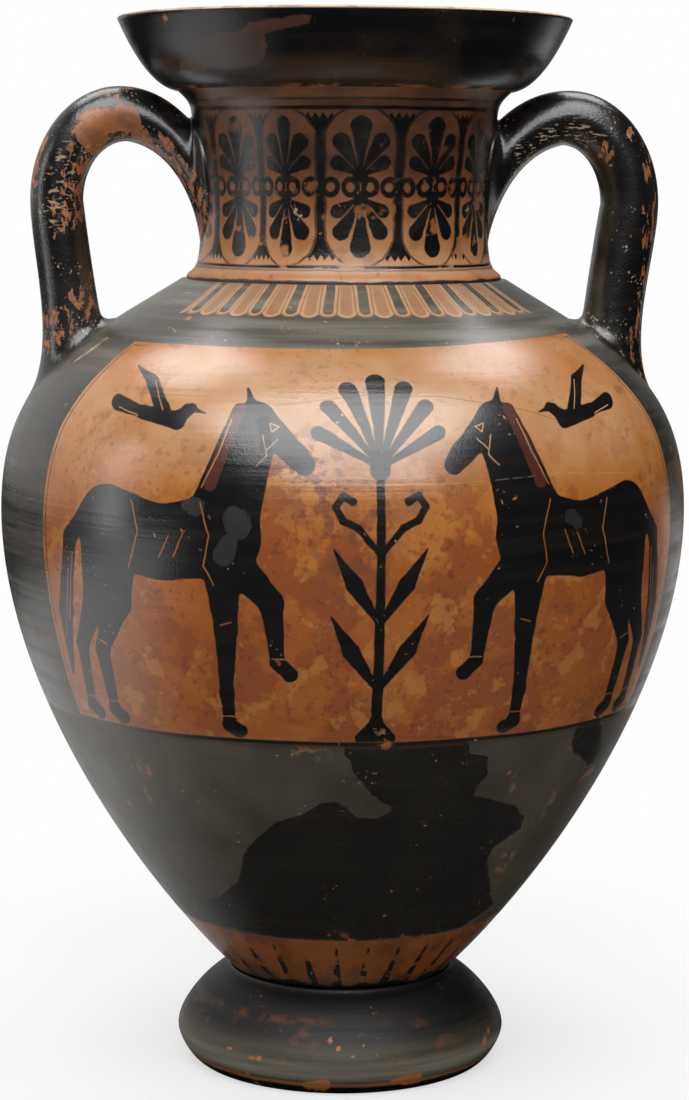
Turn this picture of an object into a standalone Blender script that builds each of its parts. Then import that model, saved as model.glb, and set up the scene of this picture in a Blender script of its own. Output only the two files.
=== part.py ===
"""Two-handled storage jar, potted in eight pieces that are luted together when leather-hard.

Metres, +Z up. The origin is on the ground under the middle of the foot, the handles lie along X.
Each turned piece is modelled from its own seat and stands on the piece below it.
"""

import math

import bmesh
import bpy

# Heights of the stacked pieces, from seat to seat
FOOT_HEIGHT = 0.056
LOWER_BODY_HEIGHT = 0.276
UPPER_BODY_HEIGHT = 0.136
NECK_HEIGHT = 0.109
MOUTH_HEIGHT = 0.043

# Outer radii
FOOT_RADIUS = 0.0993
FOOT_TREAD_RADIUS = 0.0885
STEM_RADIUS = 0.0672
BASE_RADIUS = 0.0658
BELLY_RADIUS = 0.2020
SHOULDER_RADIUS = 0.0958
NECK_BASE_RADIUS = 0.0892
NECK_WAIST_RADIUS = 0.0843
NECK_TOP_RADIUS = 0.0915
MOUTH_BASE_RADIUS = 0.0990
MOUTH_RADIUS = 0.1324

# Walls
BODY_WALL = 0.0075
NECK_WALL = 0.0080
FLOOR_THICKNESS = 0.0120
FLOOR_COVE = 0.0120

# Foot: a cushion moulding on a short stem, over a hollow with a flat tread round it
STEM_HEIGHT = 0.0045
STEM_FLARE = 0.0055
FOOT_EDGE_HEIGHT = 0.018
FOOT_TREAD_WIDTH = 0.0110
FOOT_HOLLOW_RADIUS = 0.052
FOOT_HOLLOW_HEIGHT = 0.028

# Luted joints: a keyed base, half-lapped walls and a collar that the neck fits over
LUTING_GAP = 0.0003
KEY_RADIUS = 0.046
KEY_DEPTH = 0.004
LAP_HEIGHT = 0.006
COLLAR_THICKNESS = 0.0038

# Neck: level of its waist above its seat, and the bead that covers its joint with the shoulder
NECK_WAIST_LEVEL = 0.036
NECK_FLARE_HEIGHT = 0.0120
NECK_FLARE_WIDTH = 0.0062
RING_HEIGHT = 0.0066
RING_WIDTH = 0.0052

# Lip of the mouth, rounded outside, flat on top and eased inside
LIP_ROUND_WIDTH = 0.0100
LIP_ROUND_HEIGHT = 0.0045
LIP_FLAT = 0.0060
LIP_EASE = 0.0030

# Handles: a loop between an outer and an inner edge, broader where it grows out of the walls
HANDLE_THICKNESS = 0.0318
HANDLE_WIDTH = 0.0330
HANDLE_REACH = 0.1853
HANDLE_CREST_RADIUS = 0.1310
HANDLE_CREST_RISE = 0.0020
HANDLE_BEND_DROP = 0.0660
HANDLE_LIMB_LEAN = 0.0155
HANDLE_NECK_ROOT_DROP = 0.0180
HANDLE_NECK_ROOT_LENGTH = 0.0690
HANDLE_NECK_ROOT_WIDTH = 0.0420
HANDLE_SHOULDER_ROOT_DROP = 0.0280
HANDLE_SHOULDER_ROOT_LENGTH = 0.0400
HANDLE_SHOULDER_ROOT_WIDTH = 0.0410
HANDLE_SINK = 0.0200

# Slopes of the curves, and how far their tangents pull as a share of the stretch
BASE_FLARE = math.radians(45)
BASE_PULL = 0.32
BELLY_PULL_DOWN = 0.36
BELLY_PULL_UP = 0.59
SHOULDER_PITCH = math.radians(58)
SHOULDER_PULL = 0.53
FOOT_CROWN_SLOPE = 0.52
FOOT_CROWN_PULL = 0.40
FOOT_EDGE_PULL = 0.30
FLARE_SPREAD = (0.42, 0.76)
FLARE_RISE = (0.07, 0.53)
ROUND_PULL = 0.55

# Share of the handle's length over which it broadens towards each root
NECK_ROOT_SHARE = 0.34
SHOULDER_ROOT_SHARE = 0.26

# Facets
SEGMENTS = 48
HANDLE_SIDES = 16
MERGE_DISTANCE = 0.00001
SHARP_ANGLE = math.radians(38)

# Levels of the seats above the ground
BASE_LEVEL = FOOT_HEIGHT
BELLY_LEVEL = BASE_LEVEL + LOWER_BODY_HEIGHT
SHOULDER_LEVEL = BELLY_LEVEL + UPPER_BODY_HEIGHT
NECK_TOP_LEVEL = SHOULDER_LEVEL + NECK_HEIGHT


# Curves in the half plane of radius and height

def bezier(start, pull_start, pull_end, end, steps):
    """Points of a cubic curve, both ends included."""
    points = []
    for step in range(steps + 1):
        t = step / steps
        weights = ((1 - t) ** 3, 3 * (1 - t) ** 2 * t, 3 * (1 - t) * t ** 2, t ** 3)
        corners = (start, pull_start, pull_end, end)
        points.append(tuple(sum(w * c[axis] for w, c in zip(weights, corners)) for axis in (0, 1)))
    return points


def offset(points, distance):
    """The curve moved to the left of its direction of travel by a distance."""
    moved = []
    last = len(points) - 1
    for index, (radius, height) in enumerate(points):
        before = points[max(index - 1, 0)]
        after = points[min(index + 1, last)]
        run, rise = after[0] - before[0], after[1] - before[1]
        length = math.hypot(run, rise)
        moved.append((radius - distance * rise / length, height + distance * run / length))
    return moved


def radius_at(points, height):
    """Radius of a rising wall at a height, by straight pieces."""
    for (low_radius, low), (high_radius, high) in zip(points, points[1:]):
        if low <= height <= high:
            return low_radius + (high_radius - low_radius) * (height - low) / (high - low)
    return points[0][0] if height < points[0][1] else points[-1][0]


def quarter(start, end, steps):
    """A quarter of an ellipse, level at its start and upright at its end."""
    return bezier(
        start,
        (start[0] + ROUND_PULL * (end[0] - start[0]), start[1]),
        (end[0], end[1] + ROUND_PULL * (start[1] - end[1])),
        end,
        steps,
    )


def lower_body_curve(steps):
    """Outer wall from the base to the belly, with the base at height 0."""
    lean = (math.sin(BASE_FLARE), math.cos(BASE_FLARE))
    pull = BASE_PULL * LOWER_BODY_HEIGHT
    return bezier(
        (BASE_RADIUS, 0),
        (BASE_RADIUS + pull * lean[0], pull * lean[1]),
        (BELLY_RADIUS, LOWER_BODY_HEIGHT * (1 - BELLY_PULL_DOWN)),
        (BELLY_RADIUS, LOWER_BODY_HEIGHT),
        steps,
    )


def upper_body_curve(steps):
    """Outer wall from the belly to the seat of the neck, with the belly at height 0."""
    pull = SHOULDER_PULL * UPPER_BODY_HEIGHT
    return bezier(
        (BELLY_RADIUS, 0),
        (BELLY_RADIUS, BELLY_PULL_UP * UPPER_BODY_HEIGHT),
        (
            SHOULDER_RADIUS + pull * math.sin(SHOULDER_PITCH),
            UPPER_BODY_HEIGHT - pull * math.cos(SHOULDER_PITCH),
        ),
        (SHOULDER_RADIUS, UPPER_BODY_HEIGHT),
        steps,
    )


def neck_curve(steps):
    """Outer wall of the neck, drawn in at the waist, with the seat at height 0."""
    rise = NECK_HEIGHT - NECK_WAIST_LEVEL
    below = bezier(
        (NECK_BASE_RADIUS, 0),
        ((NECK_BASE_RADIUS + NECK_WAIST_RADIUS) / 2, NECK_WAIST_LEVEL / 5),
        (NECK_WAIST_RADIUS, NECK_WAIST_LEVEL / 4),
        (NECK_WAIST_RADIUS, NECK_WAIST_LEVEL),
        steps // 2,
    )
    above = bezier(
        (NECK_WAIST_RADIUS, NECK_WAIST_LEVEL),
        (NECK_WAIST_RADIUS, NECK_WAIST_LEVEL + rise / 3),
        ((NECK_WAIST_RADIUS + NECK_TOP_RADIUS) / 2, NECK_HEIGHT - rise / 3),
        (NECK_TOP_RADIUS, NECK_HEIGHT),
        steps - steps // 2,
    )
    return below + above[1:]


# Solids

def finish(mesh_builder, name, material):
    """Turns a bmesh into a named object with smooth rounds and crisp edges."""
    bmesh.ops.remove_doubles(mesh_builder, verts=mesh_builder.verts, dist=MERGE_DISTANCE)
    bmesh.ops.recalc_face_normals(mesh_builder, faces=mesh_builder.faces)
    mesh = bpy.data.meshes.new(name)
    mesh_builder.to_mesh(mesh)
    mesh_builder.free()
    mesh.shade_smooth()
    mesh.set_sharp_from_angle(angle=SHARP_ANGLE)
    if material:
        mesh.materials.append(material)
    return place(name, mesh)


def place(name, mesh):
    piece = bpy.data.objects.new(name, mesh)
    bpy.context.scene.collection.objects.link(piece)
    return piece


def turned(name, outline, material):
    """A solid turned from an outline of (radius, height), closed on itself or on the axis."""
    builder = bmesh.new()
    corners = [builder.verts.new((radius, 0, height)) for radius, height in outline]
    pairs = list(zip(corners, corners[1:]))
    on_axis = outline[0][0] == 0 and outline[-1][0] == 0
    if not on_axis:
        pairs.append((corners[-1], corners[0]))
    edges = [builder.edges.new(pair) for pair in pairs]
    bmesh.ops.spin(
        builder,
        geom=corners + edges,
        cent=(0, 0, 0),
        axis=(0, 0, 1),
        angle=2 * math.pi,
        steps=SEGMENTS,
        use_merge=True,
    )
    return finish(builder, name, material)


def finish_of(name, colour, roughness):
    """A fired surface: its colour and how matt it is."""
    material = bpy.data.materials.new(name)
    material.use_nodes = True
    shader = material.node_tree.nodes["Principled BSDF"]
    shader.inputs["Base Color"].default_value = (*colour, 1)
    shader.inputs["Roughness"].default_value = roughness
    shader.inputs["Metallic"].default_value = 0
    return material


# Pieces

def make_foot(material):
    """Cushion foot with a hollow underside, a flat tread and a socket for the base of the body."""
    socket_level = FOOT_HEIGHT - KEY_DEPTH
    crown = (STEM_RADIUS + STEM_FLARE, FOOT_HEIGHT - STEM_HEIGHT)
    spread = FOOT_RADIUS - crown[0]
    fall = crown[1] - FOOT_EDGE_HEIGHT
    edge = (FOOT_RADIUS, FOOT_EDGE_HEIGHT)
    cushion = bezier(
        crown,
        (crown[0] + FOOT_CROWN_PULL * spread, crown[1] - FOOT_CROWN_PULL * FOOT_CROWN_SLOPE * spread),
        (FOOT_RADIUS, FOOT_EDGE_HEIGHT + FOOT_EDGE_PULL * fall),
        edge,
        7,
    )
    undercut = bezier(
        edge,
        (FOOT_RADIUS, FOOT_EDGE_HEIGHT * 2 / 3),
        (FOOT_TREAD_RADIUS + (FOOT_RADIUS - FOOT_TREAD_RADIUS) / 3, 0),
        (FOOT_TREAD_RADIUS, 0),
        4,
    )
    hollow = quarter((FOOT_HOLLOW_RADIUS, FOOT_HOLLOW_HEIGHT), (FOOT_TREAD_RADIUS - FOOT_TREAD_WIDTH, 0), 4)
    outline = [
        (0, socket_level),
        (KEY_RADIUS, socket_level),
        (KEY_RADIUS, FOOT_HEIGHT),
        (STEM_RADIUS, FOOT_HEIGHT),
        *cushion,
        *undercut[1:],
        *reversed(hollow),
        (0, FOOT_HOLLOW_HEIGHT),
    ]
    return turned("foot", outline, material)


def make_lower_body(material):
    """Bowl thrown up to the belly: a key under its floor and a half lap at its edge."""
    outer = lower_body_curve(12)
    key_radius = KEY_RADIUS - LUTING_GAP
    lap_radius = BELLY_RADIUS - BODY_WALL / 2
    cove_level = FLOOR_THICKNESS + FLOOR_COVE
    inside = [point for point in offset(outer, BODY_WALL) if point[1] > cove_level]
    floor_edge = inside[0]
    floor = bezier(
        (0, FLOOR_THICKNESS),
        (floor_edge[0] / 2, FLOOR_THICKNESS),
        (floor_edge[0] - FLOOR_COVE, floor_edge[1] - FLOOR_COVE),
        floor_edge,
        4,
    )
    outline = [
        (0, LUTING_GAP - KEY_DEPTH),
        (key_radius, LUTING_GAP - KEY_DEPTH),
        (key_radius, LUTING_GAP),
        (BASE_RADIUS, LUTING_GAP),
        *outer[1:],
        (lap_radius, LOWER_BODY_HEIGHT),
        (lap_radius, LOWER_BODY_HEIGHT + LAP_HEIGHT),
        (BELLY_RADIUS - BODY_WALL, LOWER_BODY_HEIGHT + LAP_HEIGHT),
        *reversed(inside),
        *reversed(floor[:-1]),
    ]
    bowl = turned("lower_body", outline, material)
    bowl.location.z = BASE_LEVEL
    return bowl


def collar_radius():
    """Outer radius of the collar: its inside is flush with the bore of the neck."""
    return NECK_BASE_RADIUS - NECK_WALL + COLLAR_THICKNESS


def make_upper_body(material):
    """Shoulder of the body: half lap below, flat seat and collar for the neck above."""
    outer = upper_body_curve(11)
    lap_radius = BELLY_RADIUS - BODY_WALL / 2 + LUTING_GAP
    lap_level = LAP_HEIGHT + LUTING_GAP
    bore = NECK_BASE_RADIUS - NECK_WALL
    throat = SHOULDER_RADIUS + BODY_WALL
    inside = [
        point
        for point in offset(outer, BODY_WALL)
        if point[1] > lap_level + MERGE_DISTANCE and point[0] > throat
    ]
    throat_curve = bezier(
        inside[-1],
        (bore + BODY_WALL, UPPER_BODY_HEIGHT - BODY_WALL),
        (bore, UPPER_BODY_HEIGHT - BODY_WALL),
        (bore, UPPER_BODY_HEIGHT),
        4,
    )
    outline = [
        (BELLY_RADIUS, LUTING_GAP),
        *outer[1:],
        (collar_radius(), UPPER_BODY_HEIGHT),
        (collar_radius(), UPPER_BODY_HEIGHT + LAP_HEIGHT),
        (bore, UPPER_BODY_HEIGHT + LAP_HEIGHT),
        *reversed(throat_curve),
        *reversed(inside[:-1]),
        (BELLY_RADIUS - BODY_WALL, lap_level),
        (lap_radius, lap_level),
        (lap_radius, LUTING_GAP),
    ]
    shoulder = turned("upper_body", outline, material)
    shoulder.location.z = BELLY_LEVEL
    return shoulder


def make_neck(material):
    """Waisted tube that drops over the collar and flares under the mouth, with a half lap for it."""
    outer = neck_curve(8)
    lap_radius = NECK_TOP_RADIUS - NECK_WALL / 2
    collar_level = LAP_HEIGHT + LUTING_GAP
    bore = NECK_BASE_RADIUS - NECK_WALL
    inside = [
        (radius - NECK_WALL, height)
        for radius, height in outer[1:-1]
        if height > collar_level + MERGE_DISTANCE
    ]
    flare_level = NECK_HEIGHT - NECK_FLARE_HEIGHT
    flare_start = (radius_at(outer, flare_level), flare_level)
    flare_end = (NECK_TOP_RADIUS + NECK_FLARE_WIDTH, NECK_HEIGHT)
    flare = bezier(
        flare_start,
        (flare_start[0], flare_level + NECK_FLARE_HEIGHT / 2),
        (flare_end[0] - NECK_FLARE_WIDTH / 2, NECK_HEIGHT - NECK_FLARE_HEIGHT / 4),
        flare_end,
        3,
    )
    outline = [
        (NECK_BASE_RADIUS, LUTING_GAP),
        *[point for point in outer[1:] if point[1] < flare_level - MERGE_DISTANCE],
        *flare,
        (lap_radius, NECK_HEIGHT),
        (lap_radius, NECK_HEIGHT + LAP_HEIGHT),
        (NECK_TOP_RADIUS - NECK_WALL, NECK_HEIGHT + LAP_HEIGHT),
        *reversed(inside),
        (bore, collar_level),
        (collar_radius() + LUTING_GAP, collar_level),
        (collar_radius() + LUTING_GAP, LUTING_GAP),
    ]
    tube = turned("neck", outline, material)
    tube.location.z = SHOULDER_LEVEL
    return tube


def make_neck_ring(material):
    """Half-round bead lying in the angle between the neck and the shoulder's seat."""
    wall = neck_curve(24)
    top = LUTING_GAP + RING_HEIGHT
    outside = NECK_BASE_RADIUS + LUTING_GAP + RING_WIDTH
    crown = (radius_at(wall, top) + LUTING_GAP, top)
    bead = bezier(
        (outside - RING_WIDTH / 10, LUTING_GAP),
        (outside + RING_WIDTH / 10, RING_HEIGHT / 3),
        (outside - RING_WIDTH / 2, RING_HEIGHT),
        crown,
        5,
    )
    outline = [
        (NECK_BASE_RADIUS + LUTING_GAP, LUTING_GAP),
        *bead,
        (radius_at(wall, RING_HEIGHT / 2) + LUTING_GAP, RING_HEIGHT / 2),
    ]
    ring = turned("neck_ring", outline, material)
    ring.location.z = SHOULDER_LEVEL
    return ring


def make_mouth(material):
    """Flaring mouth with a rounded lip, flat on top, and a rebate that takes the neck."""
    rebate_radius = NECK_TOP_RADIUS - NECK_WALL / 2 + LUTING_GAP
    rebate_level = LAP_HEIGHT + LUTING_GAP
    bore = NECK_TOP_RADIUS - NECK_WALL
    spread = MOUTH_RADIUS - MOUTH_BASE_RADIUS
    lip_outside = MOUTH_RADIUS - LIP_ROUND_WIDTH
    lip_inside = lip_outside - LIP_FLAT - LIP_EASE
    shoulder = MOUTH_HEIGHT - LIP_ROUND_HEIGHT
    flare = bezier(
        (MOUTH_BASE_RADIUS, LUTING_GAP),
        (MOUTH_BASE_RADIUS + spread * FLARE_SPREAD[0], MOUTH_HEIGHT * FLARE_RISE[0]),
        (MOUTH_BASE_RADIUS + spread * FLARE_SPREAD[1], MOUTH_HEIGHT * FLARE_RISE[1]),
        (MOUTH_RADIUS, shoulder),
        7,
    )
    lip = quarter((lip_outside, MOUTH_HEIGHT), (MOUTH_RADIUS, shoulder), 4)
    funnel = bezier(
        (lip_inside, MOUTH_HEIGHT - LIP_EASE),
        (lip_inside, MOUTH_HEIGHT * 2 / 3),
        ((bore + lip_inside) / 2, rebate_level),
        (bore, rebate_level),
        6,
    )
    outline = [
        *flare,
        *reversed(lip[:-1]),
        *quarter((lip_inside + LIP_EASE, MOUTH_HEIGHT), funnel[0], 2),
        *funnel[1:],
        (rebate_radius, rebate_level),
        (rebate_radius, LUTING_GAP),
    ]
    mouth = turned("mouth", outline, material)
    mouth.location.z = NECK_TOP_LEVEL
    return mouth


def make_wall_cutter():
    """The outside of shoulder and neck, a luting gap larger, that saddles the ends of the handles."""
    shoulder = [(r, z + BELLY_LEVEL) for r, z in offset(upper_body_curve(11), -LUTING_GAP)]
    neck = [(r, z + SHOULDER_LEVEL) for r, z in offset(neck_curve(8), -LUTING_GAP)]
    outline = [(0, BELLY_LEVEL), *shoulder, *neck, (0, NECK_TOP_LEVEL)]
    cutter = turned("wall_cutter", outline, None)
    cutter.hide_render = True
    cutter.display_type = "WIRE"
    return cutter


def handle_edges():
    """Outer and inner edge of the loop, from inside the neck to inside the shoulder, point by point."""
    neck = [(r, z + SHOULDER_LEVEL) for r, z in neck_curve(24)]
    shoulder = [(r, z + BELLY_LEVEL) for r, z in upper_body_curve(24)]
    crest = (HANDLE_CREST_RADIUS, NECK_TOP_LEVEL + HANDLE_CREST_RISE)
    arch = (crest[0] - HANDLE_THICKNESS / 8, crest[1] - HANDLE_THICKNESS)
    bend = (HANDLE_REACH, crest[1] - HANDLE_BEND_DROP)
    inner_bend = (HANDLE_REACH - HANDLE_THICKNESS, bend[1])

    root_top = NECK_TOP_LEVEL - HANDLE_NECK_ROOT_DROP
    root_low = root_top - HANDLE_NECK_ROOT_LENGTH
    foot_top = SHOULDER_LEVEL - HANDLE_SHOULDER_ROOT_DROP
    foot_low = foot_top - HANDLE_SHOULDER_ROOT_LENGTH
    outer_root = (radius_at(neck, root_top), root_top)
    inner_root = (radius_at(neck, root_low), root_low)
    outer_foot = (radius_at(shoulder, foot_low), foot_low)
    inner_foot = (radius_at(shoulder, foot_top), foot_top)

    throat = (arch[1] - root_low) / 3
    outer = join_edges(
        bezier(
            outer_root,
            (outer_root[0] + HANDLE_THICKNESS / 4, outer_root[1] + HANDLE_THICKNESS / 4),
            ((outer_root[0] + crest[0]) / 2, crest[1]),
            crest,
            6,
        ),
        quarter(crest, bend, 5),
        bezier(
            bend,
            (bend[0], bend[1] - HANDLE_THICKNESS),
            (bend[0] - HANDLE_LIMB_LEAN, outer_foot[1] + HANDLE_THICKNESS),
            outer_foot,
            6,
        ),
    )
    inner = join_edges(
        bezier(
            inner_root,
            (inner_root[0] + throat / 5, inner_root[1] + throat),
            (inner_root[0] + HANDLE_THICKNESS / 2, arch[1] - throat / 3),
            arch,
            6,
        ),
        quarter(arch, inner_bend, 5),
        bezier(
            inner_bend,
            (inner_bend[0], inner_bend[1] - HANDLE_THICKNESS / 2),
            ((inner_bend[0] + inner_foot[0]) / 2, inner_foot[1] + HANDLE_THICKNESS / 2),
            inner_foot,
            6,
        ),
    )
    return outer, inner


def join_edges(*stretches):
    """One edge of the loop from its stretches, with both ends carried on into the walls."""
    points = [stretches[0][0]]
    for stretch in stretches:
        points += stretch[1:]
    first, last = points[0], points[-1]
    into_neck = (first[0] - HANDLE_SINK, first[1])
    into_shoulder = (last[0] - HANDLE_SINK / 2, last[1] - HANDLE_SINK)
    return [into_neck, *points, into_shoulder]


def handle_half_widths(count):
    """Half width across at each section: broad at the neck, plain along the loop, broad at the shoulder."""
    halves = []
    for index in range(count):
        along = index / (count - 1)
        at_neck = max(0, 1 - along / NECK_ROOT_SHARE) ** 2
        at_shoulder = max(0, 1 - (1 - along) / SHOULDER_ROOT_SHARE) ** 2
        width = (
            HANDLE_WIDTH
            + at_neck * (HANDLE_NECK_ROOT_WIDTH - HANDLE_WIDTH)
            + at_shoulder * (HANDLE_SHOULDER_ROOT_WIDTH - HANDLE_WIDTH)
        )
        halves.append(width / 2)
    return halves


def make_loop(material):
    """Loft of oval sections between the two edges, on the +X side."""
    outer, inner = handle_edges()
    builder = bmesh.new()
    rings = []
    for (r_out, z_out), (r_in, z_in), half_width in zip(outer, inner, handle_half_widths(len(outer))):
        ring = []
        for side in range(HANDLE_SIDES):
            turn = 2 * math.pi * side / HANDLE_SIDES
            share = (1 + math.cos(turn)) / 2
            ring.append(
                builder.verts.new(
                    (
                        r_in + share * (r_out - r_in),
                        half_width * math.sin(turn),
                        z_in + share * (z_out - z_in),
                    )
                )
            )
        rings.append(ring)
    for ring, after in zip(rings, rings[1:]):
        for side in range(HANDLE_SIDES):
            beside = (side + 1) % HANDLE_SIDES
            builder.faces.new((ring[side], ring[beside], after[beside], after[side]))
    builder.faces.new(rings[0])
    builder.faces.new(rings[-1])
    return finish(builder, "handle_right", material)


def make_handles(material, cutter):
    """Two equal handles, each cut to sit against the neck and the shoulder."""
    right = make_loop(material)
    left = place("handle_left", right.data)
    left.rotation_euler.z = math.pi
    for handle in (right, left):
        saddle = handle.modifiers.new("saddle", "BOOLEAN")
        saddle.operation = "DIFFERENCE"
        saddle.solver = "EXACT"
        saddle.object = cutter
    return [right, left]


def clear_scene():
    for old in list(bpy.data.objects):
        bpy.data.objects.remove(old, do_unlink=True)


def main():
    clear_scene()
    black_gloss = finish_of("black_gloss", (0.018, 0.017, 0.019), 0.32)
    worn_black = finish_of("worn_black", (0.035, 0.031, 0.026), 0.42)
    orange_clay = finish_of("orange_clay", (0.52, 0.20, 0.065), 0.48)

    jar = bpy.data.objects.new("jar", None)
    bpy.context.scene.collection.objects.link(jar)
    cutter = make_wall_cutter()
    pieces = [
        make_foot(worn_black),
        make_lower_body(worn_black),
        make_upper_body(black_gloss),
        make_neck(orange_clay),
        make_neck_ring(orange_clay),
        make_mouth(black_gloss),
        *make_handles(black_gloss, cutter),
    ]
    for piece in pieces:
        piece.parent = jar


main()
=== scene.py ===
# Painted two-handled jar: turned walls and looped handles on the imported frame, with slip-painted ornament.
import math

import bpy
import numpy as np
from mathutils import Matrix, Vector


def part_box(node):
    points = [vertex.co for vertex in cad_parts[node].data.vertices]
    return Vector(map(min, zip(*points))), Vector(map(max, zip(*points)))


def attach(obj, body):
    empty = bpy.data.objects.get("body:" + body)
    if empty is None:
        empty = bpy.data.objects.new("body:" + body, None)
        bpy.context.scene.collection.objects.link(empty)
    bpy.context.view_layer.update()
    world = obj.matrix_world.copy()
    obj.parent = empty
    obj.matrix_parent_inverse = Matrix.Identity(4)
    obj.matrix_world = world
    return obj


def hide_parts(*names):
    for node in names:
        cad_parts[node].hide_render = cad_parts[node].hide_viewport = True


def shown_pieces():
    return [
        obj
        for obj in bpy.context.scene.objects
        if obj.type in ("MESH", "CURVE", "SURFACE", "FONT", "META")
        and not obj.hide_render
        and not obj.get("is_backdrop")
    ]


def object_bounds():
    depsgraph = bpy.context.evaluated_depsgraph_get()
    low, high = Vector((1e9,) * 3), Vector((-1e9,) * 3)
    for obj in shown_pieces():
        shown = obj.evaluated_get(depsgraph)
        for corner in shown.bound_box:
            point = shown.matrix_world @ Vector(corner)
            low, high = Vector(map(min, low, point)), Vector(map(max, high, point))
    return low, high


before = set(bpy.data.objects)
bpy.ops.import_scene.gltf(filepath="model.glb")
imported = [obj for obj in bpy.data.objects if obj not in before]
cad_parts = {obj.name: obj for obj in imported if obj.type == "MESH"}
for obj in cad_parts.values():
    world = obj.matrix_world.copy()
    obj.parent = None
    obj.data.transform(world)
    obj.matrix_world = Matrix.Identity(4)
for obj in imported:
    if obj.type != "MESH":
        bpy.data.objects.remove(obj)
cadLow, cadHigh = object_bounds()
scene = bpy.context.scene

# seats and outermost radii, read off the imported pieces
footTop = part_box("foot")[1].z
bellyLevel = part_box("upper_body")[0].z
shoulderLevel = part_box("neck")[0].z
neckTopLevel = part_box("mouth")[0].z
rimLevel = cadHigh.z
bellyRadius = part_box("upper_body")[1].x
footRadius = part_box("foot")[1].x
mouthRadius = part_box("mouth")[1].x
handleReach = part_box("handle_right")[1].x
print("frame loaded, jar is", round(rimLevel, 4), "m tall")


# point on a cubic: four corners weighted by (1-t)^3, 3(1-t)^2 t, 3(1-t)t^2 and t^3
def cubic(start, pullStart, pullEnd, end, count):
    t = np.linspace(0, 1, count)[:, None]
    weights = np.hstack([(1 - t) ** 3, 3 * (1 - t) ** 2 * t, 3 * (1 - t) * t ** 2, t ** 3])
    return weights @ np.array([start, pullStart, pullEnd, end], dtype=float)


# quarter of an ellipse: level at its start, upright at its end
def quarterRound(start, end, count):
    t = np.linspace(0, math.pi / 2, count)[:, None]
    return np.hstack([
        start[0] + (end[0] - start[0]) * np.sin(t),
        end[1] + (start[1] - end[1]) * np.cos(t),
    ])


# stretches end to end, without the points that two of them share
def joined(*stretches):
    points = np.vstack([np.atleast_2d(stretch) for stretch in stretches])
    apart = np.hypot(*np.diff(points, axis=0).T) > 1e-6
    return points[np.concatenate([[True], apart])]


# each point moved along the curve's left-hand normal
def offsetCurve(points, distance):
    along = np.gradient(points, axis=0)
    along /= np.hypot(*along.T)[:, None]
    return points + distance * np.stack([-along[:, 1], along[:, 0]], axis=1)


# length along a curve at each of its points
def runOf(points):
    return np.concatenate([[0], np.cumsum(np.linalg.norm(np.diff(points, axis=0), axis=1))])


# radius of a wall at a level
def radiusAt(wall, level):
    return np.interp(level, wall[:, 1], wall[:, 0])


# how a bake map is laid out: its margin, and how large the hidden and the far sides lie on it
bake = {"margin": 0.004, "hidden": 0.22, "far": 0.5, "nearAngle": 1.2}
sharpAngle = math.radians(50)


# a share from 0 to 1, brought inside the margins of a bake map
def onMap(share):
    return bake["margin"] + (1 - 2 * bake["margin"]) * share


# running total of weights, from one margin of a bake map to the other
def spread(steps, weights):
    total = np.concatenate([[0], np.cumsum(steps * weights)])
    return onMap(total / total[-1])


# mesh from rings of points: ring i and side j make one corner, sides close on themselves,
# an end ring is either drawn to a pole or the rings close on themselves too
def ringMesh(name, rings, wrapU, wrapV, bakeU, bakeV, poles):
    count, sides = rings.shape[:2]
    if poles:
        points = np.vstack([rings[0, :1], rings[1:-1].reshape(-1, 3), rings[-1, :1]])
        corner = 1 + np.arange((count - 2) * sides).reshape(count - 2, sides)
        corner = np.vstack([np.zeros((1, sides), int), corner, np.full((1, sides), len(points) - 1)])
    else:
        points = rings.reshape(-1, 3)
        corner = np.arange(count * sides).reshape(count, sides)
        corner = np.vstack([corner, corner[:1]])
    corner = np.hstack([corner, corner[:, :1]])
    rows, cols = np.meshgrid(np.arange(len(corner) - 1), np.arange(sides), indexing="ij")
    stepRow = np.array([0, 0, 1, 1])
    stepCol = np.array([0, 1, 1, 0])
    faceRows = rows[..., None] + stepRow
    faceCols = (cols[..., None] + stepCol).astype(float)
    quads = corner[faceRows, faceCols.astype(int)]
    keep = [np.arange(4)] * len(quads)
    if poles:
        keep[0] = np.array([0, 2, 3])
        keep[-1] = np.array([0, 1, 2])
        faceCols[0, :, 0] += 0.5
        faceCols[-1, :, 2] -= 0.5
    faces = []
    loopRows = []
    loopCols = []
    for row, kept in enumerate(keep):
        faces += quads[row][:, kept].tolist()
        loopRows.append(faceRows[row][:, kept].ravel())
        loopCols.append(faceCols[row][:, kept].ravel())
    loopRows = np.concatenate(loopRows)
    loopCols = np.concatenate(loopCols)
    mesh = bpy.data.meshes.new(name)
    mesh.from_pydata(points.tolist(), [], faces)
    index = np.arange(sides + 1)
    for layer, u, v in (("wrap", wrapU, wrapV), ("OFBake", bakeU, bakeV)):
        places = np.stack([np.interp(loopCols, index, u), v[loopRows]], axis=1)
        mesh.uv_layers.new(name=layer).uv.foreach_set("vector", places.astype(np.float32).ravel())
    mesh.shade_smooth()
    mesh.set_sharp_from_angle(angle=sharpAngle)
    return mesh


# puts a mesh in the scene with its material, on the root body and in place of its nodes
def addPiece(name, mesh, material, nodes):
    piece = bpy.data.objects.new(name, mesh)
    scene.collection.objects.link(piece)
    mesh.materials.append(material)
    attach(piece, "root")
    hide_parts(*nodes)
    print("piece", name, "with", len(mesh.polygons), "faces")


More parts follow.
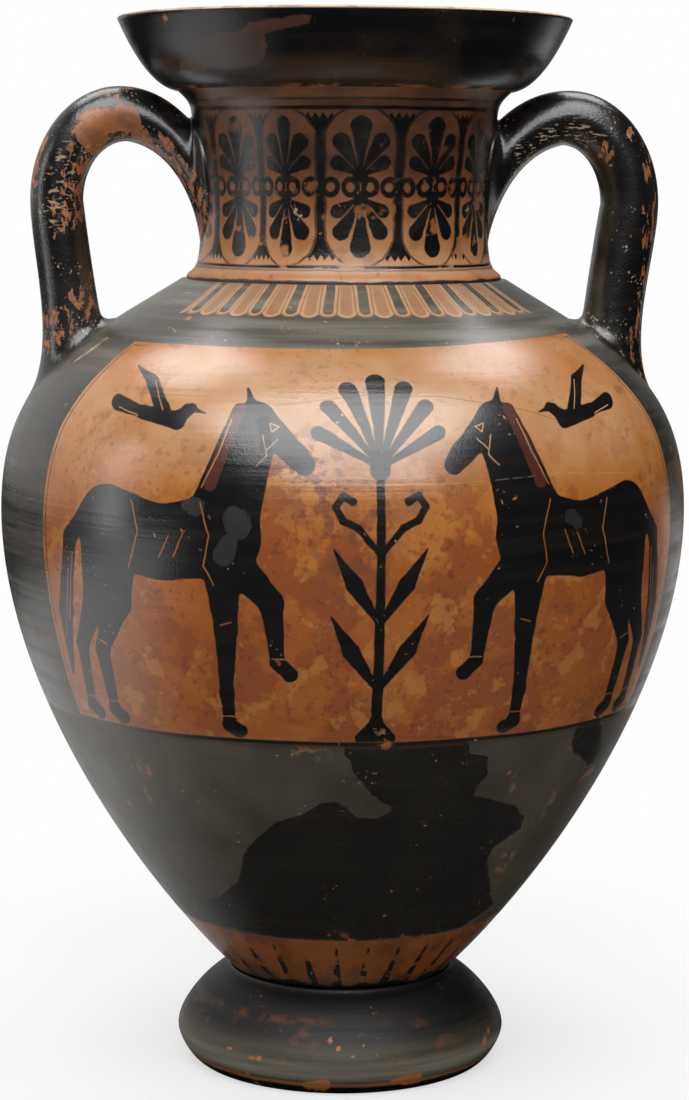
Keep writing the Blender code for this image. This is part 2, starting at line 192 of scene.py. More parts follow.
# turned wall: x = r sin(angle), y = -r cos(angle), z = height, with angle 0 on the front.
# the wrap map holds the angle in radians and the length along the profile from its wall's foot
def turnedMesh(name, profile, wallStart, wallEnd, segments, poles):
    angle = np.linspace(-math.pi, math.pi, segments + 1)
    radius, height = profile.T
    turn = angle[:-1]
    rings = np.stack([
        np.outer(radius, np.sin(turn)),
        np.outer(radius, -np.cos(turn)),
        np.outer(height, np.ones(segments)),
    ], axis=2)
    outline = profile if poles else np.vstack([profile, profile[:1]])
    run = runOf(outline)
    middle = (run[1:] + run[:-1]) / 2
    seen = (middle > run[wallStart]) & (middle < run[wallEnd])
    bakeV = spread(np.diff(run), np.where(seen, 1.0, bake["hidden"]))
    near = np.abs(angle[1:] + angle[:-1]) / 2 < bake["nearAngle"]
    bakeU = spread(np.diff(angle), np.where(near, 1.0, bake["far"]))
    return ringMesh(name, rings, angle, run - run[wallStart], bakeU, bakeV, poles)


# a turned piece from its outline: the profile, and the first and last of its points that show as wall
def addTurned(name, shape, outline, poles, material, nodes):
    profile, wallStart, wallEnd = outline
    mesh = turnedMesh(name, profile, wallStart, wallEnd, shape["segments"], poles)
    addPiece(name, mesh, material, nodes)


# shader values: a wire is a socket whose arithmetic adds Math nodes beside it
class Wire:
    def __init__(self, tree, socket=None):
        self.tree = tree
        self.socket = socket

    # any node: its type, its settings, what goes into its sockets, and the output that is taken
    def node(self, kind, settings, inputs, output=0):
        made = self.tree.nodes.new(kind)
        for name, value in settings.items():
            setattr(made, name, value)
        for key, value in inputs.items():
            if isinstance(value, Wire):
                self.tree.links.new(value.socket, made.inputs[key])
            else:
                made.inputs[key].default_value = value
        return Wire(self.tree, made.outputs[output])

    def math(self, operation, *values, clamp=False):
        settings = {"operation": operation, "use_clamp": clamp}
        return self.node("ShaderNodeMath", settings, dict(enumerate(values)))

    def vector(self, operation, *values, output=0):
        return self.node("ShaderNodeVectorMath", {"operation": operation}, dict(enumerate(values)), output)

    def __add__(self, other):
        return self.math("ADD", self, other)

    def __sub__(self, other):
        return self.math("SUBTRACT", self, other)

    def __rsub__(self, other):
        return self.math("SUBTRACT", other, self)

    def __mul__(self, other):
        return self.math("MULTIPLY", self, other)

    def __truediv__(self, other):
        return self.math("DIVIDE", self, other)

    def __neg__(self):
        return self.math("MULTIPLY", self, -1.0)

    def __abs__(self):
        return self.math("ABSOLUTE", self)

    __radd__ = __add__
    __rmul__ = __mul__


# least of several values
def lowest(first, *others):
    for other in others:
        first = first.math("MINIMUM", first, other)
    return first


# greatest of several values
def highest(first, *others):
    for other in others:
        first = first.math("MAXIMUM", first, other)
    return first


# 0 to 1 as a value goes from one level to another
def ramp(value, low, high):
    return value.math("MULTIPLY_ADD", value, 1 / (high - low), -low / (high - low), clamp=True)


# 1 inside a shape whose distance is negative, with a soft edge in metres
def inside(distance, soft=0.0007):
    return ramp(distance, soft / 2, -soft / 2)


# from the first colour to the second by a factor
def blend(factor, first, second):
    return factor.node("ShaderNodeMix", {"data_type": "RGBA"}, {0: factor, 6: first, 7: second}, 2)


# cloudy noise from 0 to 1 about 0.5
def cloud(where, scale, detail=2.0, rough=0.5):
    inputs = {"Vector": where, "Scale": scale, "Detail": detail, "Roughness": rough}
    return where.node("ShaderNodeTexNoise", {}, inputs, "Fac")


# the same noise about 0
def sway(where, scale, detail=2.0, rough=0.5):
    return cloud(where, scale, detail, rough) - 0.5


# where cloudy noise rises past a level, with an edge as soft as asked
def patches(where, scale, level, soft, detail=3.0, rough=0.55):
    return ramp(cloud(where, scale, detail, rough), level, level + soft)


# small ragged flecks: the peaks of a fine noise, only where a broad noise gathers them
def flecks(where, scale, level, gather):
    return patches(where, scale, level, 0.05, 1.0) * patches(where, scale * 0.12, gather, 0.05)


# a place stretched by a factor along each axis
def stretched(where, scale):
    return where.vector("MULTIPLY", where, scale)


# distance to a brush stroke that widens evenly from one end to the other
def stroke(place, start, end, startRadius, endRadius):
    runX, runY = end[0] - start[0], end[1] - start[1]
    square = runX ** 2 + runY ** 2
    aim = place.vector("DOT_PRODUCT", place, (runX / square, runY / square, 0), output=1)
    along = aim.math("ADD", aim, -(start[0] * runX + start[1] * runY) / square, clamp=True)
    way = place.node("ShaderNodeVectorMath", {"operation": "SCALE"}, {0: (runX, runY, 0), "Scale": along})
    near = place.vector("ADD", way, (*start, 0))
    width = along.math("MULTIPLY_ADD", along, endRadius - startRadius, startRadius)
    return place.vector("DISTANCE", place, near, output=1) - width


# strokes (x, y, radius, x, y, radius) in millimetres, run together where they meet
def brushed(place, strokes, melt):
    shape = None
    for mark in strokes:
        x, y, radius, endX, endY, endRadius = (length / 1000 for length in mark)
        part = stroke(place, (x, y), (endX, endY), radius, endRadius)
        shape = part if shape is None else part.math("SMOOTH_MIN", shape, part, melt)
    return shape


# fine lines through points in millimetres
def scratched(place, lines, width):
    shape = None
    for line in lines:
        points = [(x / 1000, y / 1000) for x, y in line]
        for start, end in zip(points, points[1:]):
            near = stroke(place, start, end, width, width)
            shape = near if shape is None else lowest(shape, near)
    return shape


# a broken line through points (value, result), as a sum of ramps
def course(value, points):
    result = None
    for (start, before), (end, after) in zip(points, points[1:]):
        step = ramp(value, start, end) * (after - before)
        result = step + points[0][1] if result is None else result + step
    return result


# distance to a patch that lies, at each length up the wall, between a left and a right edge
def between(span, run, left, right):
    return highest(course(run, left) - span, span - course(run, right), left[0][0] - run, run - left[-1][0])


# a place on a plane from two lengths
def flat(pen, x, y):
    return pen.node("ShaderNodeCombineXYZ", {}, {0: x, 1: y})


# what all the paints share: strength of their relief and refractive index of the slip
gloss = {"reliefStrength": 0.55, "index": 1.7}


# a new painted-clay material with its places: object position, angle round, length along the wall,
# height and distance from the axis
class ClayPaint:
    def __init__(self, name):
        self.material = bpy.data.materials.new(name)
        self.material.use_nodes = True
        self.tree = self.material.node_tree
        self.shader = self.tree.nodes["Principled BSDF"]
        self.pen = Wire(self.tree)
        self.where = self.pen.node("ShaderNodeTexCoord", {}, {}, "Object")
        wrap = self.pen.node("ShaderNodeUVMap", {"uv_map": "wrap"}, {})
        self.angle = self.part(wrap, 0)
        self.run = self.part(wrap, 1)
        self.height = self.part(self.where, 2)
        level = self.pen.vector("MULTIPLY", self.where, (1, 1, 0))
        self.radius = self.pen.vector("LENGTH", level, output=1)

    def part(self, vector, index):
        return self.pen.node("ShaderNodeSeparateXYZ", {}, {0: vector}, index)

    # puts the paint on: colour, roughness and a low relief go to the shader, with the piece's own sheen
    def finish(self, colour, wear, relief, shape):
        roughness = wear + shape["rough"]
        inputs = {"Strength": gloss["reliefStrength"], "Distance": shape["relief"], "Height": relief}
        bump = self.pen.node("ShaderNodeBump", {}, inputs, "Normal")
        for socket, wire in (("Base Color", colour), ("Roughness", roughness), ("Normal", bump)):
            self.tree.links.new(wire.socket, self.shader.inputs[socket])
        self.shader.inputs["Metallic"].default_value = 0.0
        self.shader.inputs["IOR"].default_value = gloss["index"]
        self.shader.inputs["Specular IOR Level"].default_value = shape["specular"]
        return self.material


# colours of the fired clay, then of the black slip, linear
tones = {
    "pale": (0.65, 0.33, 0.145, 1),
    "warm": (0.54, 0.19, 0.038, 1),
    "deep": (0.42, 0.112, 0.014, 1),
    "stain": (0.13, 0.045, 0.022, 1),
    # the next tone also paints the highlight on the panel and the tongues
    "crust": (0.60, 0.47, 0.30, 1),
    "plum": (0.21, 0.068, 0.036, 1),
    "gold": (0.58, 0.235, 0.040, 1),
    "rust": (0.32, 0.078, 0.016, 1),
    # the next tone darkens the neck under the mouth: soot and painted shade
    "sootShade": (0.062, 0.022, 0.012, 1),
    "jet": (0.0045, 0.0045, 0.0050, 1),
    "brown": (0.030, 0.020, 0.013, 1),
    # the next tone also paints the sheen on the band and low on the foot
    "ash": (0.38, 0.36, 0.29, 1),
    "matt": (0.099, 0.082, 0.052, 1),
    "filled": (0.023, 0.023, 0.025, 1),
    "red": (0.115, 0.030, 0.018, 1),
}


# one of those tones over a colour, as thick as its mask
def coat(colour, mask, tone):
    return blend(mask, colour, tones[tone])


# fired clay: pale to deep by the tone given, mottled, with darker stains and fine pale grains
def clayColour(where, tone):
    tone = tone + sway(where, 34.0, 4.0, 0.6) * 1.1
    colour = blend(ramp(tone, 0.0, 0.55), tones["pale"], tones["warm"])
    colour = coat(colour, ramp(tone, 0.55, 1.15), "deep")
    colour = coat(colour, patches(where, 52.0, 0.60, 0.10) * 0.40, "stain")
    return coat(colour, patches(where, 620.0, 0.66, 0.12, 1.0) * 0.30, "pale")


# relief of a turned wall: fine grain, and the rings left by fingers, flattened by the stretch given
def turnedRelief(where, grain, grainShare, flatten, ringShare):
    rings = cloud(stretched(where, flatten), 1.0, 2.0)
    return cloud(where, grain, 2.0) * grainShare + rings * ringShare


# black slip: brushed round the jar in streaks of brown, greyer and matt by the share given: wear, and in
# places a painted sheen
def slipColour(where, mattness):
    streak = cloud(stretched(where, (9.0, 9.0, 150.0)), 1.0, 3.0, 0.6)
    colour = blend(ramp(streak, 0.45, 0.80) * 0.45, tones["jet"], tones["brown"])
    return coat(colour, mattness, "matt")


bodyShape = {
    "baseRadius": 0.0658,
    "baseFlare": 45.0,
    "basePull": 0.32,
    "bellyPullDown": 0.36,
    "bellyPullUp": 0.59,
    "shoulderRadius": 0.0958,
    "shoulderPitch": 58.0,
    "shoulderPull": 0.53,
    "wall": 0.0075,
    "floor": 0.012,
    "cove": 0.012,
    "throatDrop": 0.008,
    "bore": 0.0812,
    "segments": 256,
    "rough": 0.24,
    "relief": 0.0006,
    "specular": 0.9,
}


# outer wall of the body: two cubics that meet upright at the belly
def bodyWall():
    shape = bodyShape
    lowRise = bellyLevel - footTop
    flare = math.radians(shape["baseFlare"])
    pull = shape["basePull"] * lowRise
    lower = cubic(
        (shape["baseRadius"], footTop),
        (shape["baseRadius"] + pull * math.sin(flare), footTop + pull * math.cos(flare)),
        (bellyRadius, bellyLevel - shape["bellyPullDown"] * lowRise),
        (bellyRadius, bellyLevel),
        100,
    )
    upRise = shoulderLevel - bellyLevel
    pitch = math.radians(shape["shoulderPitch"])
    pull = shape["shoulderPull"] * upRise
    upper = cubic(
        (bellyRadius, bellyLevel),
        (bellyRadius, bellyLevel + shape["bellyPullUp"] * upRise),
        (shape["shoulderRadius"] + pull * math.sin(pitch), shoulderLevel - pull * math.cos(pitch)),
        (shape["shoulderRadius"], shoulderLevel),
        80,
    )
    return joined(lower, upper)


# outline of the body: up the outer wall, then down inside it, a wall's thickness away, to the floor
def bodyProfile():
    shape = bodyShape
    outer = bodyWall()
    floorLevel = footTop + shape["floor"]
    inner = offsetCurve(outer, shape["wall"])[::-3]
    overFloor = inner[:, 1] > floorLevel + shape["cove"]
    inner = inner[overFloor & (inner[:, 0] > shape["shoulderRadius"] + shape["wall"])]
    # the inside turns out of the bore under the neck, and into the floor at the bottom
    bore = shape["bore"]
    under = (bore, shoulderLevel - shape["throatDrop"])
    throat = cubic((bore, shoulderLevel), under, inner[0], inner[0], 6)
    corner = inner[-1]
    floor = cubic(corner, corner - shape["cove"], (corner[0] / 2, floorLevel), (0, floorLevel), 12)
    return joined((0, footTop), outer, throat, inner, floor), 1, len(outer)


# length up the wall at a height
def wallRun(height):
    wall = bodyWall()
    return float(np.interp(height, wall[:, 1], runOf(wall)))


# the front panel, in millimetres from its middle line and from its lower edge: drawn on one side of the
# middle and mirrored, a standing horse that faces a tall palmette tree, under a flying bird
panelArt = {
    "low": 0.2263,
    "high": 0.4362,
    "halfAngle": math.radians(61.2),
    "taper": math.radians(3.2),
    "taperRise": (0.17, 0.235),
    "climb": 0.008,
    "climbAngle": (0.1, 1.05),
    "turn": math.radians(1.6),
    "horse": [
        (86, 116, 22.5, 122, 111, 20), (122, 111, 20, 158, 117, 23), (85, 126, 20.5, 71, 163, 14),
        (71, 163, 14, 65, 181, 10), (65, 181, 10, 45, 161, 6.4), (45, 161, 6.4, 40, 155, 5.6),
        (67, 187, 3.2, 69, 200, 0.8), (74, 186, 4.0, 92, 144, 5.0),
        (86, 104, 12, 83, 66, 6.4), (83, 66, 6.4, 82, 28, 3.9), (82, 28, 3.9, 80, 10, 3.6),
        (80, 8, 4.2, 74, 5, 4.4),
        (82, 106, 11, 58, 82, 6.4), (58, 82, 6.4, 54, 48, 3.8), (54, 48, 3.8, 47, 41, 4.4),
        (156, 112, 20, 152, 76, 10), (152, 76, 10, 164, 47, 5.4), (164, 47, 5.4, 157, 12, 3.9),
        (157, 9, 4.2, 150, 5, 4.6),
        (163, 110, 17, 169, 74, 9), (169, 74, 9, 181, 48, 5.2), (181, 48, 5.2, 177, 12, 3.8),
        (177, 9, 4.2, 170, 5, 4.6),
        (175, 124, 5, 189, 108, 5.5), (189, 108, 5.5, 195, 66, 6.6), (195, 66, 6.6, 193, 28, 1.6),
    ],
    "bird": [
        (112, 178, 5.6, 134, 182, 4.6), (134, 182, 3.4, 153, 187, 5.6), (112, 179, 4.8, 105, 184, 3.4),
        (105, 185, 3.4, 102, 186, 3.0),
        (101, 185, 1.8, 94, 183, 0.4), (121, 184, 5.2, 129, 203, 4.4), (129, 203, 4.4, 141, 213, 0.8),
    ],
    "tree": [
        (0, 4, 11, 0, 13, 4), (0, 14, 3.0, 0, 150, 2.2), (0, 152, 5.5, 0, 158, 5.5),
        (0, 160, 1.6, 0, 206, 5.4), (2, 160, 1.4, 15, 201, 5.0), (3, 158, 1.4, 26, 189, 4.6),
        (4, 156, 1.4, 32, 173, 4.2),
        (0, 32, 1.4, 15, 55, 4.8), (15, 55, 4.8, 26, 75, 0.4), (0, 70, 1.4, 14, 92, 4.6),
        (14, 92, 4.6, 25, 111, 0.4),
        (0, 108, 1.6, 12, 122, 2.0), (12, 122, 2.0, 20, 126, 2.0), (20, 126, 2.0, 24, 133, 2.0),
        (24, 133, 2.0, 20, 139, 1.8),
        (20, 139, 1.8, 15, 136, 2.4),
    ],
    "mane": [(74, 187, 3.2, 92, 144, 3.8)],
    "lines": [
        [(79, 180), (87, 160), (97, 142)], [(98, 134), (93, 116), (96, 100), (90, 90)],
        [(141, 132), (137, 116), (143, 96)],
        [(108, 117), (114, 104)], [(117, 115), (123, 103)], [(54, 169), (60, 163)],
        [(62, 171), (60, 160), (66, 154)],
        [(53, 176), (58, 178), (57, 173), (53, 176)], [(77, 14), (84, 14)], [(153, 15), (160, 15)],
        [(173, 15), (180, 15)],
        [(50, 50), (57, 50)], [(80, 70), (86, 68)], [(160, 50), (167, 52)], [(191, 90), (196, 50)],
        [(187, 100), (192, 60)],
        [(121, 184), (127, 203)], [(138, 180), (152, 184)],
    ],
}

ornament = {
    "tongueCount": 36,
    "tongueHigh": 0.4672,
    "tongueLow": 0.4528,
    "tongueAngle": math.radians(54.4),
    "rayHigh": 0.0945,
    "rayCount": 32,
    # the jet-black patch left on the worn lower wall, in millimetres up the wall and from the front line:
    # left and right edges of its lower mass, then of its upper block
    "jetLower": (
        [
            (53, -62), (57, -99), (67, -107), (73, -104), (82, -84), (99, -70), (126, -65), (138, -57),
            (150, -47),
            (156, -33), (165, -22),
        ],
        [
            (53, 70), (58, 77), (67, 95), (76, 91), (95, 83), (113, 80), (123, 82), (135, 102),
            (145, 102), (153, 92),
            (154, -3), (165, -14),
        ],
    ),
    "jetUpper": (
        [(150, 3), (158, 15), (162, 15), (173, 2), (186, -6), (198, -11), (215, -12)],
        [(150, 96), (154, 92), (166, 64), (173, 66), (179, 72), (192, 72), (195, 60), (215, 54)],
    ),
    "jetFleck": [(148, 194, 15, 160, 180, 9)],
    # marks on the front, in millimetres from the front line and up the wall
    "ochre": [
        (-143, 181, 5, -131, 176, 4.5), (-134, 163, 2, -129, 154, 1.5), (-39, 200, 2.5, -23, 197, 4.5),
        (92, 174, 2.4, 89, 166, 1.2), (127, 156, 2.2, 118, 137, 1.8), (96, 116, 5, 92, 103, 4),
    ],
    "fills": [
        (-72, 331, 7.5, -71, 328, 7.5), (-76, 318, 5, -79, 312, 6), (-98, 338, 5, -95, 337, 5),
        (-54, 371, 3, -56, 384, 4),
        (118, 330, 4, 124, 326, 3),
    ],
    "stains": [(-57, 358, 9, -30, 360, 16), (-30, 360, 16, -9, 335, 20), (-9, 335, 20, -13, 308, 14)],
    "scuffs": [(-209, 416, 0.8, -192, 429, 2.0), (-192, 429, 2.0, -181, 438, 1.0)],
    "crack": [[(-50, 395), (-25, 399), (2, 403), (41, 401), (89, 391), (116, 382)]],
    "scratch": [[(1, 350), (51, 351), (110, 353.5), (168, 350)]],
}


# tongues round the shoulder: black ones ringed by a fine line, with faint red ones between, on bare clay
def shoulderTongues(paint, side):
    art = ornament
    period = 2 * math.pi / art["tongueCount"]
    top, bottom = wallRun(art["tongueHigh"]), wallRun(art["tongueLow"])
    pen = paint.pen
    wobble = sway(paint.where, 38.0) * 0.02
    turns = (side + wobble) / period

    def tongueAt(shift, low, radius):
        across = (pen.math("FRACT", turns + shift) - 0.5) * (paint.radius * period)
        return stroke(flat(pen, across, paint.run), (0, top + 0.01), (0, low), radius * 0.8, radius)

    black = tongueAt(0.5, bottom + 0.0035, 0.0030)
    red = tongueAt(0.0, bottom + 0.0030, 0.0034)
    ground = lowest(black - 0.0026, red - 0.0022)
    within = highest((abs(side) - art["tongueAngle"]) * paint.radius, paint.run - (top + 0.004))
    return highest(ground, within), black, abs(black - 0.0020) - 0.0004, red


# rays rising from the foot, all but worn away
def baseRays(paint):
    period = 2 * math.pi / ornament["rayCount"]
    across = (paint.pen.math("FRACT", paint.angle / period) - 0.5) * (paint.radius * period)
    tip = wallRun(ornament["rayHigh"]) - 0.008
    ray = stroke(flat(paint.pen, across, paint.run), (0, -0.004), (0, tip), 0.0034, 0.0006)
    left = patches(stretched(paint.where, (1, 1, 0.55)), 120.0, 0.46, 0.05, 4.0)
    pooled = inside(paint.run - 0.003 - (cloud(paint.where, 70.0, 3.0) - 0.4) * 0.02, 0.002)
    return highest(inside(ray) * left, pooled)


# paint of the body: bare panels, tongues and ray zone among the black slip, then wear and marks
def bodyPaint():
    paint = ClayPaint("paintedBody")
    pen, where, run = paint.pen, paint.where, paint.run
    art = panelArt
    low, high = wallRun(art["low"]), wallRun(art["high"])
    wallTop = wallRun(shoulderLevel)
    hand = sway(where, 14.0)
    tremble = sway(where, 130.0)
    # front and back carry the same panel
    side = pen.math("WRAP", paint.angle - art["turn"], math.pi / 2, -math.pi / 2)
    across = side * paint.radius + tremble * 0.0012
    up = run - low + hand * 0.002
    # the panel narrows a little towards its top, and its top edge climbs to the right of the front
    reach = art["halfAngle"] - ramp(up, *art["taperRise"]) * art["taper"]
    inPanel = highest(
        (abs(side) - reach) * paint.radius + hand * 0.004,
        -up,
        up - (high - low) - ramp(paint.angle, *art["climbAngle"]) * art["climb"],
    )
    place = flat(pen, abs(across), up + tremble * 0.001)
    horse = brushed(place, art["horse"], 0.004)
    others = lowest(brushed(place, art["bird"], 0.002), brushed(place, art["tree"], 0.0012))
    figures = lowest(horse, others)
    lines = scratched(place, art["lines"], 0.00035)
    mane = brushed(place, art["mane"], 0.001)

    ground, tongue, tongueLine, redTongue = shoulderTongues(paint, side)
    rayLevel = wallRun(ornament["rayHigh"])
    rayZone = run - rayLevel + hand * 0.004
    inner = ramp(run, wallTop + 0.002, wallTop + 0.004)

    # bare clay shows in the panel, between the tongues, in the ray zone and inside
    panelMask = inside(inPanel)
    tongueMask = inside(ground)
    rayMask = inside(rayZone)
    bare = highest(panelMask, tongueMask, rayMask)
    figureMask = inside(figures) * (1 - inside(lines, 0.0005))
    frameLine = inside(abs(inPanel + 0.0030) - 0.0004) * ramp(abs(side), 0.9, 1.0)
    drawn = highest(
        panelMask * highest(figureMask, frameLine),
        tongueMask * highest(inside(tongue), inside(tongueLine) * 0.8),
        rayMask * baseRays(paint),
    )
    slip = highest(1 - bare, drawn)

    # chips: a few on the figures, more along the edges of the black and near the foot
    chips = patches(where, 46.0, 0.70, 0.03, 5.0, 0.62)
    chips = highest(chips, flecks(where, 330.0, 0.67, 0.60))
    chips = highest(chips, patches(where, 90.0, 0.60, 0.05, 4.0) * inside(abs(rayZone) - 0.006, 0.008))
    chips = chips * ramp(run, 0.0, 0.03)
    slip = slip * (1 - chips * 0.9) * (1 - inner)

    # the lower wall is worn grey-brown, but for a jagged patch of the old jet black
    front = ramp(paint.part(where, 1), 0.0, -0.02)
    jag = sway(where, 110.0, 4.0, 0.65) * 7.0
    span = paint.angle * paint.radius * 1000
    jetSpan = span + jag
    jetRun = run * 1000 + jag * 0.6
    jet = inside(between(jetSpan, jetRun, *ornament["jetLower"]), 0.9)
    jet = highest(jet, inside(between(jetSpan, jetRun, *ornament["jetUpper"]), 0.9)) * front
    markPlace = flat(pen, jetSpan * 0.001, jetRun * 0.001)
    jet = highest(jet, inside(brushed(markPlace, ornament["jetFleck"], 0.002), 0.001))
    jet = highest(jet, patches(where, 11.0, 0.56, 0.01, 5.0) * (1 - front))
    wornZone = inside(run - low, 0.012)
    edgeLine = inside(abs(up + 0.0013) - 0.0010)
    jet = highest(jet, edgeLine)
    uneven = patches(where, 24.0, 0.35, 0.30, 4.0) * 0.38 + 0.62
    mattness = wornZone * (1 - rayMask) * (1 - jet * 0.84) * uneven
    brushMarks = patches(stretched(where, (6, 6, 170)), 1.0, 0.42, 0.22)
    # the upper wall outside the panel is greyed: worn slip and a painted sheen
    bandWearAndSheen = (1 - wornZone) * (1 - panelMask) * (0.25 + brushMarks * 0.45)
    mattness = highest(mattness, bandWearAndSheen)

    # the clay is deepest low in the panel and palest above its middle, that paleness being a painted
    # highlight; it is deeper again at the panel's top, and the tongues are paler as a painted highlight too
    tone = 0.58 + ramp(up, 0.17, 0.09) * 0.52 - ramp(up, 0.10, 0.17) * 0.40
    tone = tone + ramp(up, 0.19, 0.225) * 0.25 - tongueMask * 0.35
    clay = clayColour(where, tone)
    # the panel is mottled golden and rusty, and plum stains gather near its middle
    rusty = patches(where, 30.0, 0.50, 0.035, 5.0, 0.66) * ramp(up, 0.19, 0.11)
    clay = coat(clay, panelMask * rusty * (0.5 + ramp(abs(side), 0.9, 0.4) * 0.35), "rust")
    golden = patches(where, 62.0, 0.56, 0.04, 4.0, 0.6) * ramp(up, 0.19, 0.10)
    clay = coat(clay, panelMask * golden * 0.55, "gold")
    # a pale patch above the panel's middle, strongest near the front: a painted highlight
    paintedHighlight = ramp(up, 0.140, 0.168) * (0.45 - ramp(up, 0.20, 0.23) * 0.25) * ramp(abs(side), 0.80, 0.30)
    paintedHighlight = paintedHighlight * (0.5 + patches(where, 26.0, 0.45, 0.15, 4.0) * 0.5)
    clay = coat(clay, panelMask * paintedHighlight, "crust")
    marks = flat(pen, span * 0.001, run)
    stains = inside(brushed(marks, ornament["stains"], 0.01), 0.030) * patches(where, 88.0, 0.49, 0.05, 3.0)
    clay = coat(clay, stains * panelMask * 0.85, "plum")
    grains = flecks(where, 230.0, 0.60, 0.46) * (0.20 + ramp(up, 0.18, 0.12) * 0.25)
    clay = coat(clay, panelMask * grains, "stain")
    crack = inside(scratched(marks, ornament["crack"], 0.00018), 0.0005)
    clay = coat(clay, crack * 0.75, "stain")
    # paler tongue clay: a painted highlight on the shoulder
    clay = coat(clay, tongueMask * 0.22, "crust")
    clay = coat(clay, tongueMask * inside(redTongue) * 0.40, "red")
    # grime darkens the ray zone, most near the foot
    darkening = patches(stretched(where, (1, 1, 0.4)), 60.0, 0.45, 0.2, 4.0) * 0.45 + 0.35
    clay = coat(clay, rayMask * (darkening + ramp(run, 0.016, 0.0) * 0.5), "stain")
    slipTone = slipColour(where, mattness)
    # pale ash on the band over the panel: a painted sheen
    slipTone = coat(slipTone, bandWearAndSheen * ramp(run, high - 0.03, high) * 0.60, "ash")
    slipTone = coat(slipTone, panelMask * inside(mane) * figureMask * 0.8, "red")
    colour = blend(slip, clay, slipTone)
    fills = inside(brushed(markPlace, ornament["fills"], 0.001), 0.0010) * figureMask * panelMask
    colour = coat(colour, fills, "filled")
    colour = coat(colour, inside(abs(up + 0.0036) - 0.0008) * front * 0.45, "red")
    ochre = inside(brushed(markPlace, ornament["ochre"], 0.001), 0.0040)
    ochre = ochre * patches(where, 150.0, 0.47, 0.08, 5.0)
    ochre = highest(ochre, patches(where, 30.0, 0.70, 0.02, 4.0) * (1 - jet)) * wornZone * slip
    colour = coat(colour, ochre * 0.42, "gold")
    # dust lies on the right of the lower wall
    dusty = wornZone * slip * (1 - jet) * patches(where, 40.0, 0.34, 0.25, 4.0)
    colour = coat(colour, ramp(paint.angle, 0.35, 0.80) * dusty * 0.045, "crust")
    # clay shows through on the right flank
    flank = ramp(paint.angle, 1.12, 1.32) * ramp(paint.angle, 1.80, 1.60)
    flank = flank * inside(abs(run - 0.275) - 0.075, 0.04) * patches(where, 34.0, 0.40, 0.15, 4.0)
    colour = coat(colour, flank * slip * 0.70, "warm")
    # pale grains: scuffs on the left shoulder, one long scratch, specks on the band over the panel
    scuffs = inside(brushed(markPlace, ornament["scuffs"], 0.001), 0.001)
    scuffs = scuffs * patches(where, 150.0, 0.42, 0.10)
    scratch = inside(scratched(marks, ornament["scratch"], 0.00014), 0.0004)
    scratch = scratch * patches(where, 90.0, 0.40, 0.10) * 0.6
    specks = flecks(where, 320.0, 0.64, 0.58) * ramp(run, high, high + 0.002)
    specks = specks * ramp(front, 0.2, 0.8) * (1 - tongueMask)
    pale = highest(scuffs, scratch, specks, flecks(where, 420.0, 0.69, 0.60) * slip * 0.8)
    colour = coat(colour, pale * 0.8, "crust")

    wear = sway(where, 60.0, 3.0) * 0.14 + mattness * 0.22 + fills * 0.12
    relief = turnedRelief(where, 900.0, 0.25, (4, 4, 260), 0.55)
    return paint.finish(colour, wear, relief, bodyShape)


addTurned("body", bodyShape, bodyProfile(), True, bodyPaint(), ("lower_body", "upper_body"))


neckShape = {
    "baseRadius": 0.0902,
    "waistRadius": 0.0843,
    "topRadius": 0.0915,
    "waistLevel": 0.036,
    "flareHeight": 0.012,
    "flareWidth": 0.0062,
    "wall": 0.0080,
    "segments": 224,
    "rough": 0.36,
    "relief": 0.0006,
    "specular": 0.6,
}


# outer wall of the neck: in to the waist, then out to the mouth
def neckWall(count):
    shape = neckShape
    waist = shoulderLevel + shape["waistLevel"]
    rise = neckTopLevel - waist
    below = cubic(
        (shape["baseRadius"], shoulderLevel),
        ((shape["baseRadius"] + shape["waistRadius"]) / 2, shoulderLevel + shape["waistLevel"] / 5),
        (shape["waistRadius"], shoulderLevel + shape["waistLevel"] / 4),
        (shape["waistRadius"], waist),
        count // 2,
    )
    above = cubic(
        (shape["waistRadius"], waist),
        (shape["waistRadius"], waist + rise / 3),
        ((shape["waistRadius"] + shape["topRadius"]) / 2, neckTopLevel - rise / 3),
        (shape["topRadius"], neckTopLevel),
        count // 2,
    )
    return joined(below, above)


# the palmette chain, in millimetres from the middle of a cell and from the middle row: drawn in one
# quarter and mirrored both ways
neckArt = {
    "cells": 12,
    "turn": math.radians(1.9),
    "middle": 0.5224,
    "halfHeight": 0.0435,
    "drawRadius": 0.0862,
    "petals": [
        (0, 11, 1.2, 0, 33.6, 5.8), (2, 10, 1.0, 11.0, 25.0, 4.9), (3, 7.5, 1.0, 12.9, 13.4, 4.1),
        (0, 6.5, 4.4, 0, 8, 4.2),
    ],
    "archRise": 0.0250,
    "archHalf": 0.0198,
    "archLine": 0.0006,
    # how far the chain is squeezed to either side of the front, in cells by angle
    "squeeze": [
        (-1.6, 0), (-1.2, -0.31), (-0.77, -0.31), (-0.42, 0), (0.65, 0), (1.08, 0.157), (1.3, 0.157),
        (1.6, 0),
    ],
    "flowerRise": (0.016, 0.040),
    "flowerTop": 0.0412,
    "toothPitch": 0.0044,
    "toothDepth": 0.0064,
    "linkRadius": 0.0039,
    "lineLevels": (0.5662, 0.5712, 0.4778),
    "lineHalves": (0.0011, 0.0006, 0.0009),
    # levels between which a tone comes or goes
    "washRise": (0.500, 0.525),
    "paleRise": (0.525, 0.475),
    "litFootRise": (0.492, 0.476),
    "sootShadeRise": (0.480, 0.535),
    "washAngle": math.radians(64),
}
